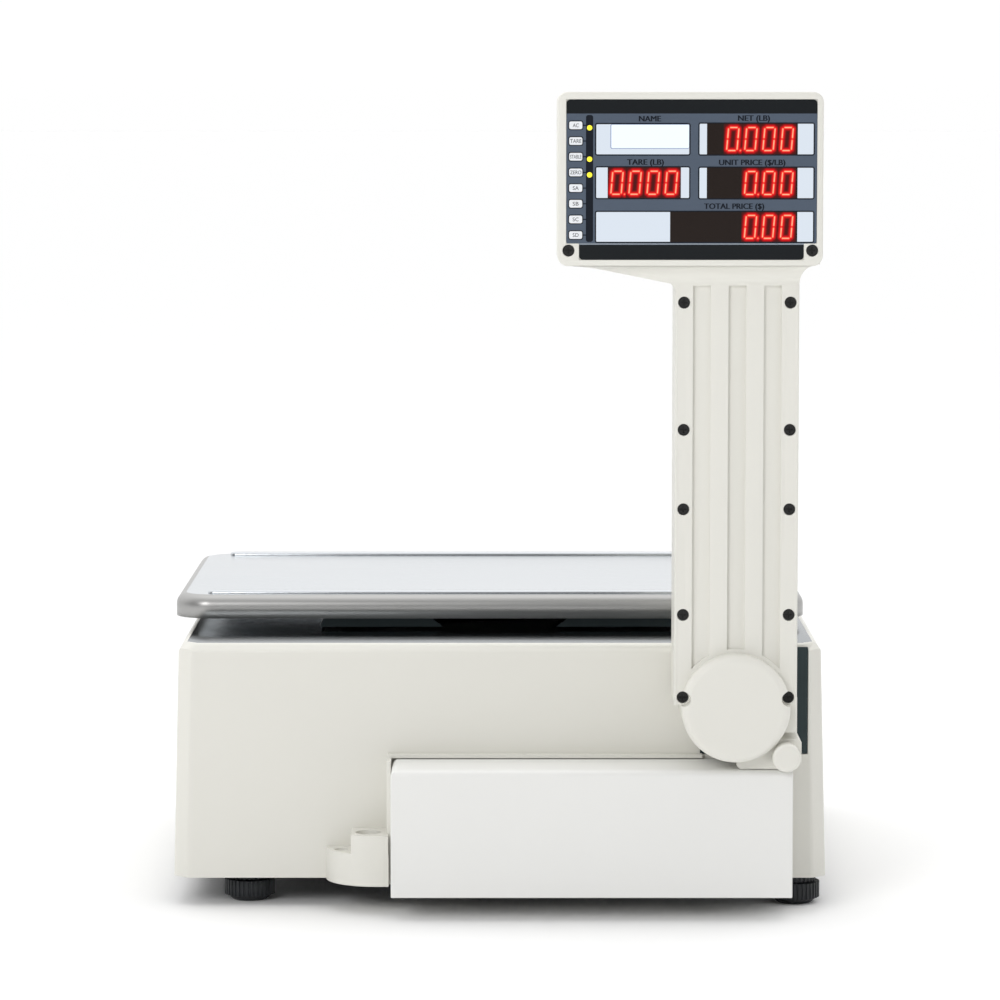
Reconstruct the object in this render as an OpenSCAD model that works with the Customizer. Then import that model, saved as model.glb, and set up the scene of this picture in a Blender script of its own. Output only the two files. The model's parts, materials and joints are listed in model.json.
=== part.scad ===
// Label printing scale with a folding customer display post.
// Frame: origin on the standing surface under the middle of the whole object, +Z up,
// -Y towards the customer, +Y towards the operator, +X to the customer's right.

/* [Housing] */
// Width of the housing across its base
body_w = 388; // [370:1:420]
// Depth of the housing, customer face to operator front
body_d = 380; // [372:1:430]
// Height of the housing above its feet
body_h = 140; // [134:1:165]
// Wall thickness of the housing
wall = 3; // [2.4:0.1:3.6]
// How far each side leans in from base to top
side_draft = 3.6; // [1:0.1:5]
// Bevel across each vertical corner
corner_cut = 8; // [5:0.5:12]
// Bevel around the top edge
top_cut = 4; // [2:0.5:5]
// Ground clearance of the housing on its feet
foot_h = 17; // [15:0.5:22]

/* [Operator slope] */
// Front-to-back run of the operator slope
slope_run = 78; // [70:1:84]
// Height lost over the operator slope
slope_drop = 85; // [75:1:95]
// Width of the printer bay
bay_w = 124; // [118:1:130]

/* [Weighing pan] */
// Width of the pan
pan_w = 380; // [350:1:400]
// Depth of the pan
pan_d = 246; // [230:1:248]
// Offset of the pan from the housing's middle
pan_x = -6; // [-8:0.5:2]
// Setback of the pan from the customer face
pan_setback = 50; // [44:1:52]
// Height of the pan's top above the housing
pan_rise = 23; // [21:0.5:30]
// Depth of the pan's turned-down rim
pan_rim = 14; // [10:0.5:15]
// Thickness of the pan's sheet
pan_sheet = 1.5; // [1:0.1:2]

/* [Post and head] */
// Width of the post
post_w = 71.5; // [64:0.5:74]
// Thickness of the post
post_t = 40; // [36:1:44]
// Air between the post and the customer face
post_gap = 8; // [7:0.5:12]
// Height of the pivot above which the head's underside sits
head_rise = 256; // [240:1:300]
// Width of the display head
head_w = 152; // [140:1:160]
// Height of the display head
head_h = 99.5; // [92:0.5:106]
// How far the head stands in front of the post
head_step = 10; // [8:0.5:12]
// Radius of the round barrel at the foot of the post
barrel_r = 31.6; // [29:0.2:33]
// Outer radius of the hollow pivot tube
tube_r = 11; // [9:0.2:12]
// Wall of the printed post shells
shell = 3; // [2.6:0.1:3.4]

/* [Rear box] */
// Width of the rear box
box_w = 234; // [200:1:240]
// Height of the rear box
box_h = 75; // [68:1:78]
// How far the rear box stands out of the customer face
box_out = 50; // [44:1:54]
// How far the rear box hangs below the housing
box_drop = 3; // [0:0.5:5]

/* [Feet] */
// Radius of the knurled foot wheel
foot_r = 15; // [13:0.5:17]
// Radius of the knurled lock ring
ring_r = 12.7; // [11:0.1:14]
// Radius of the foot's stud
stud_r = 4; // [3:0.1:5]

/* [Label printer] */
// Radius of a full label roll
roll_r = 42; // [34:1:43]
// Width of the label roll
roll_w = 58; // [50:1:60]
// Radius of the platen roller
platen_r = 7; // [6:0.1:8]

/* [Hidden] */
$fn = 64;

cream = [0.89, 0.88, 0.84];
slate = [0.20, 0.24, 0.28];
steel = [0.72, 0.73, 0.74];
black = [0.07, 0.07, 0.08];
green = [0.10, 0.36, 0.22];

eps = 0.01;      // overrun of a cut past the face it opens
fit_gap = 0.3;   // air between fixed pieces that seat in each other
run_gap = 0.05;  // radial air of a running fit
slide_gap = 0.6; // air beside pieces that slide or swing past each other

post_reach = post_gap + post_t + head_step + 4; // furthest point in front of the customer face
face_y = (post_reach - body_d) / 2;             // customer face, so that Y = 0 is the middle
base_z = foot_h;
top_z = base_z + body_h;
slope_y = face_y + body_d - slope_run;          // where the operator slope begins
front_y = face_y + body_d;
slope_angle = atan2(slope_drop, slope_run);
slope_len = sqrt(slope_drop * slope_drop + slope_run * slope_run);
plate_t = 2.5;   // thickness of the lower chassis
floor_z = base_z + plate_t;

box_top = base_z - box_drop + box_h;
box_x1 = body_w / 2 - 23.5;
box_x0 = box_x1 - box_w;
fold_gap = 1.4;  // air between the folded post and the rear box
pivot_x = body_w / 2 - 57.2;
hinge_half = max(post_w / 2, barrel_r + 4); // half width of the hinge, clear of the barrel
pivot_z = box_top + fold_gap + hinge_half;

post_back = face_y - post_gap;
post_front = post_back - post_t;
head_front = post_front - head_step;
post_split = post_back - post_t / 2;
strip = post_w / 7;             // ribs, grooves and margins share one width
margin_x = post_w / 2 - strip / 2;
cap_t = head_step + 1;
cap_front = post_front - cap_t;
collar_r = barrel_r + 2.2;
groove_depth = 2.6;
groove_top = head_rise - 11.5;
head_right = post_w / 2 + 12.6; // head's right side from the pivot
head_left = head_right - head_w;
head_corner = 6;
wing_low = -15;                 // lower end of the post's square side beside the barrel
screw_head_r = 3.2;
screw_hole_r = screw_head_r + fit_gap;
screw_levels = [5.6, 0.21 * head_rise, 0.45 * head_rise, 0.63 * head_rise, 0.917 * head_rise];
head_screw_x = [head_left + 6.2, head_right - 6.2];
head_screw_z = head_rise + 9;

panel_t = 0.8;                  // thickness of the printed overlays
panel_rim = 4.2;                // rim of the head left around the overlay
panel_x0 = head_left + panel_rim + 0.6;
panel_x1 = head_right - panel_rim + 0.6;
panel_z1 = head_rise + head_h - panel_rim;
panel_z0 = head_rise + 13;      // where the overlay steps in to clear its two screws
tab_inset = 7.4;
tab_z0 = head_rise + 3.6;

foot_x = [-(body_w / 2 - 44), body_w / 2 - 18];
foot_y = [face_y + 26, front_y - 30];
foot_right_y = face_y + 16;     // the foot beside the rear box stands nearer the customer
boss_r = 10;

// Middle of a foot: i picks left or right, j the customer's or the operator's side.
function foot_at(i, j) = [foot_x[i], i == 1 && j == 0 ? foot_right_y : foot_y[j]];

// Height of the boss over a foot, low where the printer drawer runs above it.
function foot_boss_h(i, j) = i == 0 && j == 1 ? bay_z0 + 0.5 - base_z : 22;

pan_y0 = face_y + pan_setback;
pan_z = top_z + pan_rise;       // top of the pan
frame_w = 218;                  // width of the pan's support frame
frame_top = pan_z - pan_sheet - 10.5;
cell_l = 130;
cell_w = 24;
cell_h = 22;
cell_y = pan_y0 + pan_d / 2;
cell_z = base_z + 72;
cell_end = 27;                  // length of each clamped end

bay_x0 = -body_w / 2 + side_draft + wall + 2.5;
bay_x1 = bay_x0 + bay_w;
bay_z0 = base_z + 4.4;
tray_z = base_z + 8;
side_l = bay_x0 + 9;            // inner faces of the printer's side plates
side_r = bay_x1 - 18;
roll_y = slope_y - 40;
roll_z = tray_z + 5 + roll_r;
platen_y = slope_y + 26;
platen_z = base_z + 74;
motor_y = slope_y + 16;
motor_z = base_z + 31;
motor_pulley_r = 6;
platen_pulley_r = 9;
belt_t = 1.2;
spool_y = slope_y + 49;
spool_z = base_z + 33;
head_pivot_y = slope_y - 2;
head_pivot_z = base_z + 103;

// ---------------------------------------------------------------- helpers

// Box between two corners.
module block(x, y, z) {
    translate([x[0], y[0], z[0]]) cube([x[1] - x[0], y[1] - y[0], z[1] - z[0]]);
}

// Rectangle with round corners between two corners.
module round_rect(x, y, r) {
    translate([x[0] + r, y[0]]) square([x[1] - x[0] - 2 * r, y[1] - y[0]]);
    translate([x[0], y[0] + r]) square([x[1] - x[0], y[1] - y[0] - 2 * r]);
    for (cx = [x[0] + r, x[1] - r], cy = [y[0] + r, y[1] - r]) translate([cx, cy]) circle(r);
}

// Extrudes an (x, z) outline from y0 to y1.
module along_y(y0, y1) {
    translate([0, y1, 0]) rotate([90, 0, 0]) linear_extrude(y1 - y0) children();
}

// Extrudes a (y, z) outline from x0 to x1.
module along_x(x0, x1) {
    translate([x0, 0, 0]) rotate([90, 0, 90]) linear_extrude(x1 - x0) children();
}

// Cylinder along +X from x0 to x1.
module rod_x(x0, x1, y, z, r) {
    translate([x0, y, z]) rotate([0, 90, 0]) cylinder(h = x1 - x0, r = r);
}

// Cylinder along +Y from y0 to y1.
module rod_y(y0, y1, x, z, r) {
    translate([x, y0, z]) rotate([-90, 0, 0]) cylinder(h = y1 - y0, r = r);
}

// Places children at the post's pivot, which is where the post and head are drawn from.
module at_pivot() {
    translate([pivot_x, 0, pivot_z]) children();
}

// Places children on the operator slope: x across, y up the slope, z out of it.
module on_slope() {
    translate([0, front_y, top_z - slope_drop]) rotate([slope_angle, 0, 180]) children();
}

// Knurled disc with square-sided ribs.
module knurl(r, h, ribs, depth) {
    step = 360 / ribs;
    linear_extrude(h) polygon([
        for (i = [0:ribs - 1], k = [0:3])
            let (a = i * step + [0, 0.42, 0.5, 0.92][k] * step, q = k < 2 ? r : r - depth)
            [q * cos(a), q * sin(a)]
    ]);
}

// Pan-head screw with its head's top at the origin, pointing down.
module screw(head_r, head_h, shank_r, length) {
    difference() {
        translate([0, 0, -head_h]) cylinder(h = head_h, r = head_r);
        for (a = [0, 90]) rotate(a)
            translate([-head_r * 0.6, -head_r * 0.14, -head_h * 0.45])
                cube([head_r * 1.2, head_r * 0.28, head_h]);
    }
    translate([0, 0, -head_h - length]) cylinder(h = length, r = shank_r);
}

// ---------------------------------------------------------------- housing

// Eight corners of the housing's plan at one height.
function plan(inset, lean, z) =
    let (x = body_w / 2 - inset - lean, y0 = face_y + inset, y1 = front_y - inset,
         c = corner_cut - inset * 0.4)
    [[-x + c, y0, z], [x - c, y0, z], [x, y0 + c, z], [x, y1 - c, z],
     [x - c, y1, z], [-x + c, y1, z], [-x, y1 - c, z], [-x, y0 + c, z]];

// Solid of the housing, set in by inset all round.
module housing(inset, below) {
    z1 = top_z - inset;
    lean = side_draft * (body_h - top_cut) / body_h;
    rings = [
        plan(inset, 0, base_z - below),
        plan(inset, lean, z1 - top_cut),
        [for (p = plan(inset, side_draft + top_cut, z1))
            [p.x, p.y + (p.y < 0 ? top_cut : 0), p.z]]
    ];
    sides = [for (r = [0:1], i = [0:7]) let (j = (i + 1) % 8)
        [r * 8 + i, r * 8 + 8 + i, r * 8 + 8 + j, r * 8 + j]];
    difference() {
        polyhedron(concat(rings[0], rings[1], rings[2]),
            concat([[0, 1, 2, 3, 4, 5, 6, 7]], sides, [[23, 22, 21, 20, 19, 18, 17, 16]]));
        on_slope() translate([-body_w, -slope_len, -inset])
            cube([2 * body_w, 3 * slope_len, 3 * slope_drop]);
    }
}

// Places children at each screw boss along the housing's inside walls.
module at_cover_bosses() {
    for (sx = [-1, 1], y = [face_y + 50, face_y + 240, slope_y - 8])
        if (sx > 0 || y < roll_y - roll_r - 20)
            translate([sx * (body_w / 2 - wall - 5), y, 0]) children();
}

cover_boss_h = 40;
keypad_x0 = -(body_w / 2 - side_draft - 12);
keypad_x1 = -bay_x1 - 8;
keypad_margin = 7;

module keypad_outline(grow) {
    translate([keypad_x0 - grow, keypad_margin - grow])
        square([keypad_x1 - keypad_x0 + 2 * grow, slope_len - 2 * keypad_margin + 2 * grow]);
}

hinge_plate_t = 1.8;
hinge_plate_x = [pivot_x - 18, body_w / 2 - side_draft - corner_cut - 0.2];
hinge_plate_z = [box_top + 2.4, top_z - top_cut / 2];
inlet_y = face_y + 80;
inlet_z = base_z + 32;
rocker_y = inlet_y + 42;
socket_y = [for (i = [0:2]) rocker_y + 36 + 26 * i];
vial_r = 8;
vial_pos = [body_w / 2 - 34, slope_y - 3 - vial_r / 2];

module body_cover() {
    color(cream) difference() {
        union() {
            difference() {
                housing(0, 0);
                housing(wall, 1);
            }
            intersection() {
                housing(wall / 2, 0);
                at_cover_bosses()
                    translate([0, 0, floor_z + fit_gap]) cylinder(h = cover_boss_h, r = 5.5);
            }
        }
        at_cover_bosses() translate([0, 0, base_z - 1]) cylinder(h = cover_boss_h - 6, r = 1.6);
        // way through the top for the load cell's pillar
        block([cell_l / 2 - cell_end - 4, cell_l / 2 + 4],
              [cell_y - cell_w / 2 - 4, cell_y + cell_w / 2 + 4], [top_z - 2 * wall, top_z + 1]);
        // printer bay
        block([bay_x0, bay_x1], [slope_y + 4, front_y + 1], [bay_z0, top_z + 1]);
        // seat of the keypad sheet, and the window behind it
        on_slope() translate([0, 0, -panel_t]) linear_extrude(panel_t + 1) keypad_outline(fit_gap);
        on_slope() translate([0, 0, -2 * wall]) linear_extrude(2 * wall + 1) keypad_outline(-6);
        // seat of the hinge plate, with the way in for the pivot tube
        block([hinge_plate_x[0] - fit_gap, hinge_plate_x[1] + fit_gap],
              [face_y - 1, face_y + hinge_plate_t],
              [hinge_plate_z[0] - fit_gap, hinge_plate_z[1] + fit_gap]);
        rod_y(face_y - 1, face_y + 3 * wall, pivot_x, pivot_z, tube_r + fit_gap);
        // cable way behind the rear box
        block([box_x0 + 60, box_x1 - 60], [face_y - 1, face_y + 2 * wall],
              [base_z + 16, box_top - 20]);
        // mains inlet, switch and sockets in the right wall
        for (cut = concat([[inlet_y, 28, 20.4], [rocker_y, 22.4, 20.4]],
                          [for (y = socket_y) [y, 19, 13.6]]))
            block([body_w / 2 - 4 * wall, body_w / 2 + 1], [cut[0] - cut[1] / 2, cut[0] + cut[1] / 2],
                  [inlet_z - cut[2] / 2, inlet_z + cut[2] / 2]);
        // pocket of the spirit level
        translate([vial_pos[0], vial_pos[1], top_z - wall + 0.8]) cylinder(h = wall, r = vial_r + fit_gap);
    }
}

module lower_chassis() {
    x = body_w / 2 - wall - side_draft * 0.1 - 0.8;
    y = [face_y + wall + 0.8, front_y - wall - 0.8];
    c = corner_cut;
    color(steel) difference() {
        union() {
            translate([0, 0, base_z]) linear_extrude(plate_t) polygon([
                [-x + c, y[0]], [x - c, y[0]], [x, y[0] + c], [x, y[1] - c],
                [x - c, y[1]], [-x + c, y[1]], [-x, y[1] - c], [-x, y[0] + c]]);
            for (i = [0, 1], j = [0, 1]) translate([0, 0, base_z]) translate(foot_at(i, j))
                cylinder(h = foot_boss_h(i, j), r = boss_r - i);
            // pressed stiffening ribs
            for (fx = [-60, 70]) block([fx - 4, fx + 4], [face_y + 24, cell_y - 30],
                                       [floor_z - eps, floor_z + 3]);
        }
        for (i = [0, 1], j = [0, 1]) translate([0, 0, base_z - 1]) translate(foot_at(i, j))
            cylinder(h = 40, r = stud_r + run_gap);
        at_cover_bosses() translate([0, 0, base_z - 1]) cylinder(h = plate_t + 2, r = 2.1);
        // vents under the electronics
        for (i = [0:7]) block([84, 134], [slope_y - 62 + i * 7, slope_y - 59 + i * 7],
                              [base_z - 1, floor_z + 1]);
    }
}

module cover_screws() {
    color(steel) at_cover_bosses()
        translate([0, 0, base_z - 1.8]) rotate([180, 0, 0]) screw(3.6, 1.8, 1.55, 16);
}

// ---------------------------------------------------------------- pan and load cell

pan_ridge_h = 1.8;
pan_ridge_end = 19.5; // from the pan's edge to the end of a lip

// Round-cornered slab of the pan, set in by inset, from z0 to z1.
module pan_slab(inset, r, z0, z1) {
    translate([0, 0, z0]) linear_extrude(z1 - z0)
        round_rect([pan_x - pan_w / 2 + inset, pan_x + pan_w / 2 - inset],
                   [pan_y0 + inset, pan_y0 + pan_d - inset], r);
}

// Plan radius of the pan's corners.
pan_corner = 22;
pan_bull = 7; // radius of the rolled rim

// The pan's outer solid: a slab with a rolled upper edge, grown by grow.
module pan_body(inset, top, bottom) {
    r = pan_corner - inset;
    b = pan_bull - inset;
    pan_slab(inset, r, bottom, top - b);
    pan_slab(inset + b, r - b, bottom, top);
    y = [pan_y0 + inset + b, pan_y0 + pan_d - inset - b];
    x = [pan_x - pan_w / 2 + inset + b, pan_x + pan_w / 2 - inset - b];
    for (cy = y) rod_x(x[0] + r - b, x[1] - r + b, cy, top - b, b);
    for (cx = x) rod_y(y[0] + r - b, y[1] - r + b, cx, top - b, b);
    for (cx = [x[0] + r - b, x[1] - r + b], cy = [y[0] + r - b, y[1] - r + b])
        translate([cx, cy, top - b]) rotate_extrude() translate([r - b, 0]) intersection() {
            circle(b);
            square([b, b]);
        }
}

module weighing_pan() {
    color(steel) {
        difference() {
            pan_body(0, pan_z, pan_z - pan_rim);
            pan_body(pan_sheet, pan_z - pan_sheet, pan_z - pan_rim - 1);
        }
        // raised lips that keep goods from rolling off
        for (y = [pan_y0 + 13, pan_y0 + pan_d - 13]) intersection() {
            rod_x(pan_x - pan_w / 2 + pan_ridge_end, pan_x + pan_w / 2 - pan_ridge_end,
                  y, pan_z - 4.2, 6);
            block([pan_x - pan_w / 2, pan_x + pan_w / 2], [y - 10, y + 10],
                  [pan_z - pan_sheet / 2, pan_z + pan_ridge_h]);
        }
    }
}

pad_r = 8;
pad_xy = [[-frame_w / 2 + 14, pan_y0 + 30], [frame_w / 2 - 14, pan_y0 + 30],
          [-frame_w / 2 + 14, pan_y0 + pan_d - 30], [frame_w / 2 - 14, pan_y0 + pan_d - 30]];

// Pressed tray under the pan, on a pillar that stands on the load cell's free end.
module pan_support_frame() {
    y = [pan_y0 + 12, pan_y0 + pan_d - 12];
    lip = frame_top - top_z - 2.5;
    color(slate) {
        difference() {
            along_y(y[0], y[1]) polygon([
                [-frame_w / 2, frame_top - lip], [-frame_w / 2 + 4, frame_top],
                [frame_w / 2 - 4, frame_top], [frame_w / 2, frame_top - lip]]);
            along_y(y[0] + 2, y[1] - 2) polygon([
                [-frame_w / 2 + 2, frame_top - lip - 1], [-frame_w / 2 + 6, frame_top - 2],
                [frame_w / 2 - 6, frame_top - 2], [frame_w / 2 - 2, frame_top - lip - 1]]);
            // finger notch in the customer-side flange
            along_y(y[0] - 1, y[0] + 3) polygon([
                [-33, frame_top - lip - 1], [-42, frame_top - 2.4],
                [42, frame_top - 2.4], [33, frame_top - lip - 1]]);
            for (p = [[-70, -60], [70, -60], [-70, 60], [70, 60]])
                translate([p[0], cell_y + p[1], frame_top - 4]) cylinder(h = 6, r = 16);
        }
        difference() {
            block([cell_l / 2 - cell_end, cell_l / 2],
                  [cell_y - cell_w / 2, cell_y + cell_w / 2], [cell_z + cell_h, frame_top - 1]);
            for (x = [cell_l / 2 - cell_end + 6, cell_l / 2 - 6])
                translate([x, cell_y, cell_z + cell_h - 1]) cylinder(h = 18, r = 2.6);
        }
    }
}

module pan_rubber_pads() {
    color(black) for (p = pad_xy)
        translate([p[0], p[1], frame_top]) rotate_extrude() polygon([
            [0, 0], [pad_r, 0], [pad_r, 4], [pad_r - 2, pan_z - pan_sheet - frame_top],
            [0, pan_z - pan_sheet - frame_top]]);
}

// Single-point cell: a beam with two joined holes that let it bend.
module load_cell() {
    color([0.78, 0.79, 0.80]) difference() {
        block([-cell_l / 2, cell_l / 2], [cell_y - cell_w / 2, cell_y + cell_w / 2],
              [cell_z, cell_z + cell_h]);
        for (x = [-15, 15]) rod_y(cell_y - cell_w, cell_y + cell_w, x, cell_z + cell_h / 2, 8);
        block([-15, 15], [cell_y - cell_w, cell_y + cell_w],
              [cell_z + cell_h / 2 - 3, cell_z + cell_h / 2 + 3]);
        for (s = [-1, 1], x = [cell_l / 2 - cell_end + 6, cell_l / 2 - 6])
            translate([s * x, cell_y, cell_z - 1]) cylinder(h = cell_h + 2, r = 2.6);
    }
}

module load_cell_mount() {
    x = [-cell_l / 2, -cell_l / 2 + cell_end];
    color(steel) difference() {
        union() {
            block(x, [cell_y - cell_w / 2, cell_y + cell_w / 2], [floor_z, cell_z]);
            block([x[0] - 22, x[1] + 22], [cell_y - cell_w / 2 - 10, cell_y + cell_w / 2 + 10],
                  [floor_z, floor_z + 6]);
        }
        for (s = [-cell_l / 2 + 6, -cell_l / 2 + cell_end - 6])
            translate([s, cell_y, cell_z - 20]) cylinder(h = 30, r = 2.6);
    }
}

module load_cell_screws() {
    reach = 15; // how far a screw goes past the beam
    color(black) for (s = [-1, 1], x = [cell_l / 2 - cell_end + 6, cell_l / 2 - 6])
        translate([s * x, cell_y, s < 0 ? cell_z - reach : cell_z - 5]) {
            cylinder(h = cell_h + reach + (s < 0 ? 5 : 5), r = 2.5);
            translate([0, 0, s < 0 ? cell_h + reach : 0]) cylinder(h = 5, r = 4.5);
        }
}

// ---------------------------------------------------------------- hinge

bracket_t = 6.8;                         // thickness of the plate behind the post
bracket_low = -(pivot_z - box_top) + 0.35;
bracket_right = hinge_half + 3;
bracket_block_top = wing_low - 4;
button_at = [bracket_right - 9.35, bracket_low + 8.2];
button_r = 8.2;
button_stem_r = 5;
button_travel = 4;
bracket_front = post_front + 2;

module hinge_mounting_plate() {
    color(slate) difference() {
        block(hinge_plate_x, [face_y, face_y + hinge_plate_t - fit_gap / 2], hinge_plate_z);
        rod_y(face_y - 1, face_y + 2 * wall, pivot_x, pivot_z, tube_r + fit_gap);
    }
}

module hinge_bracket() {
    color(cream) at_pivot() difference() {
        union() {
            along_y(face_y - bracket_t, face_y) {
                circle(barrel_r);
                polygon([[1, 0], [bracket_right, 0], [bracket_right, bracket_low + 3],
                         [bracket_right - 3, bracket_low], [1, bracket_low]]);
            }
            along_y(bracket_front, face_y - bracket_t + eps) difference() {
                polygon([[1, bracket_block_top], [bracket_right - 2, bracket_block_top],
                         [bracket_right, bracket_block_top - 2],
                         [bracket_right, bracket_low + 3], [bracket_right - 3, bracket_low],
                         [3, bracket_low], [1, bracket_low + 2]]);
                circle(barrel_r + slide_gap + 0.4);
            }
        }
        rod_y(post_front - 1, face_y + 1, 0, 0, tube_r);
        rod_y(bracket_front - 1, bracket_front + 30, button_at[0], button_at[1],
              button_stem_r + run_gap);
    }
}

module hinge_pivot_tube() {
    color(steel) at_pivot() difference() {
        rod_y(post_front + 8, face_y + 9, 0, 0, tube_r);
        rod_y(post_front + 7, face_y + 10, 0, 0, tube_r - 2.5);
    }
}

module hinge_retaining_ring() {
    color(steel) at_pivot() difference() {
        rod_y(post_front + 9, post_front + 10.6, 0, 0, tube_r + 4);
        rod_y(post_front + 8, post_front + 12, 0, 0, tube_r);
        block([-2, 2], [post_front + 8, post_front + 12], [tube_r - 1, tube_r + 5]);
    }
}

// Push button that frees the post: a domed cap on a stem.
module hinge_release_button() {
    back = bracket_front - button_travel - fit_gap;
    color(cream) at_pivot() translate([button_at[0], back, button_at[1]]) rotate([90, 0, 0]) {
        rotate_extrude() {
            square([button_r, 7]);
            square([button_r - 2, 9]);
            translate([button_r - 2, 7]) circle(2);
        }
        translate([0, 0, -20]) cylinder(h = 20 + eps, r = button_stem_r);
    }
}

// Round cover over the pivot, notched where the two lowest screws go in.
module hinge_cap() {
    edge = 5;
    color(cream) at_pivot() difference() {
        translate([0, post_front, 0]) rotate([90, 0, 0]) rotate_extrude() {
            square([barrel_r, cap_t - edge]);
            square([barrel_r - edge, cap_t]);
            translate([barrel_r - edge, cap_t - edge]) intersection() {
                circle(edge);
                square([edge, edge]);
            }
        }
        for (s = [-1, 1]) rod_y(cap_front - 1, post_front + 1, s * margin_x,
                                  screw_levels[0], screw_hole_r + 0.9);
    }
}

// ---------------------------------------------------------------- post and head

// Front outline of the post with its head, drawn from the pivot.
module post_outline() {
    hw = post_w / 2;
    circle(barrel_r);
    translate([-hw, 1]) square([post_w, head_rise + 4]);
    translate([0, wing_low]) square([hw, 8 - wing_low]);
    round_rect([head_left, head_right], [head_rise, head_rise + head_h], head_corner);
    // long flare under the head's overhang
    polygon([[-hw, head_rise - 13.5], [-hw - 2.4, head_rise - 10.4], [head_left + 20, head_rise - 1.2],
             [head_left + 9, head_rise], [head_left + 9, head_rise + 9], [0, head_rise + 9],
             [0, head_rise - 13.5]]);
    // short cove on the other side
    difference() {
        translate([hw - eps, head_rise - 10]) square([11, 12]);
        translate([hw + 11, head_rise - 10]) circle(11);
    }
}

// Side outline: the head stands forward of the post and meets it in a cove.
module post_side() {
    low = -barrel_r - 1;
    translate([post_front, low]) square([post_t, head_rise - low + 4]);
    translate([head_front, head_rise]) square([post_t + head_step, head_h]);
    difference() {
        translate([head_front, head_rise - head_step]) square([head_step + eps, head_step + eps]);
        translate([head_front, head_rise - head_step]) circle(head_step);
    }
}

// The whole post and head between two depths.
module post_solid(y0, y1) {
    intersection() {
        along_y(y0, y1) post_outline();
        along_x(-2 * head_w, 2 * head_w) post_side();
    }
}

// Space inside the post and head.
module post_cavity() {
    hw = post_w / 2 - shell;
    y = [post_front + groove_depth + shell, post_back - shell];
    block([-hw, hw], y, [barrel_r + 2, head_rise + shell]);
    block([head_left + shell, head_right - shell], [head_front + 8.5, post_back - 4.5],
          [head_rise + shell, head_rise + head_h - shell]);
    rod_y(y[0], y[1], 0, 0, barrel_r - shell);
    block([-9, 9], y, [0, barrel_r + 3]);
}

// Places children at every screw of the post and head, on the pivot's frame.
module at_post_screws() {
    for (s = [-1, 1], z = screw_levels) translate([s * margin_x, 0, z]) children();
}

module at_head_screws() {
    for (x = head_screw_x) translate([x, 0, head_screw_z]) children();
}

module panel_outline(shrink) {
    translate([panel_x0 + shrink, panel_z0 + shrink])
        square([panel_x1 - panel_x0 - 2 * shrink, panel_z1 - panel_z0 - 2 * shrink]);
    translate([panel_x0 + tab_inset + shrink, tab_z0 + shrink])
        square([panel_x1 - panel_x0 - 2 * tab_inset - 2 * shrink, panel_z0 - tab_z0]);
}

hub_r = tube_r + 5;
hub_front = post_front + 10.8;

module post_front_shell() {
    color(cream) at_pivot() difference() {
        union() {
            difference() {
                post_solid(head_front - 1, post_split);
                post_cavity();
            }
            at_post_screws() rod_y(post_front + 1, post_split, 0, 0, 4.2);
            at_head_screws() rod_y(head_front + 2, post_split, 0, 0, 4.2);
            rod_y(hub_front, post_split, 0, 0, hub_r);
            for (a = [0, 90, 180]) rotate([0, a, 0])
                block([hub_r - 2, barrel_r - 1], [hub_front, post_split], [-1.5, 1.5]);
        }
        rod_y(post_front + 5, post_split + 1, 0, 0, tube_r + run_gap);
        block([-5, 5], [post_front + shell, post_split + 1], [tube_r - 1, hub_r + 4]);
        // three flutes down the post, ending round the pivot's collar
        along_y(post_front - 1, post_front + groove_depth) difference() {
            for (k = [-1, 0, 1]) translate([k * 2 * strip - strip / 2, 0]) square([strip, groove_top]);
            circle(collar_r);
        }
        at_post_screws() rod_y(post_front - 1, post_front + 4, 0, 0, screw_hole_r);
        at_head_screws() rod_y(head_front - 1, head_front + 4, 0, 0, screw_hole_r);
        at_post_screws() rod_y(post_front, post_split + 1, 0, 0, 1.75);
        at_head_screws() rod_y(head_front, post_split + 1, 0, 0, 1.75);
        // seat of the customer overlay, and the window behind it
        along_y(head_front - 1, head_front + panel_t) panel_outline(0);
        along_y(head_front - 1, head_front + 10)
            translate([panel_x0 + 10, panel_z0 - 1.5])
                square([panel_x1 - panel_x0 - 20, panel_z1 - panel_z0 - 8.5]);
    }
}

module post_rear_shell() {
    color(cream) at_pivot() difference() {
        union() {
            difference() {
                post_solid(post_split, post_back + 1);
                post_cavity();
            }
            at_post_screws() rod_y(post_split, post_back - 1, 0, 0, 4.2);
            at_head_screws() rod_y(post_split, post_back - 1, 0, 0, 4.2);
            rod_y(post_split, post_back - eps, 0, 0, hub_r);
        }
        rod_y(post_split - 1, post_back + 1, 0, 0, tube_r + run_gap);
        at_post_screws() rod_y(post_split - 1, post_back - 4, 0, 0, 1.5);
        at_head_screws() rod_y(post_split - 1, post_back - 4, 0, 0, 1.5);
        // seat of the operator overlay, and the window behind it
        along_y(post_back - panel_t, post_back + 1) operator_outline(0);
        along_y(post_back - 6, post_back + 1)
            translate([head_left + 14, head_rise + 30]) square([head_w - 28, head_h - 44]);
    }
}

module operator_outline(shrink) {
    round_rect([head_left + 5 + shrink, head_right - 5 - shrink],
               [head_rise + 14 + shrink, head_rise + head_h - 5 - shrink], 3);
}

module post_screws() {
    color(black) at_pivot() {
        at_post_screws() translate([0, post_front + 1.2, 0]) rotate([90, 0, 0])
            screw(screw_head_r, 2.6, 1.45, post_t / 2 + 8);
        at_head_screws() translate([0, head_front + 1.2, 0]) rotate([90, 0, 0])
            screw(screw_head_r, 2.6, 1.45, post_t / 2 + head_step + 8);
    }
}

module customer_overlay() {
    color(slate) at_pivot()
        along_y(head_front + 0.1, head_front + panel_t) panel_outline(0.15);
}

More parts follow.
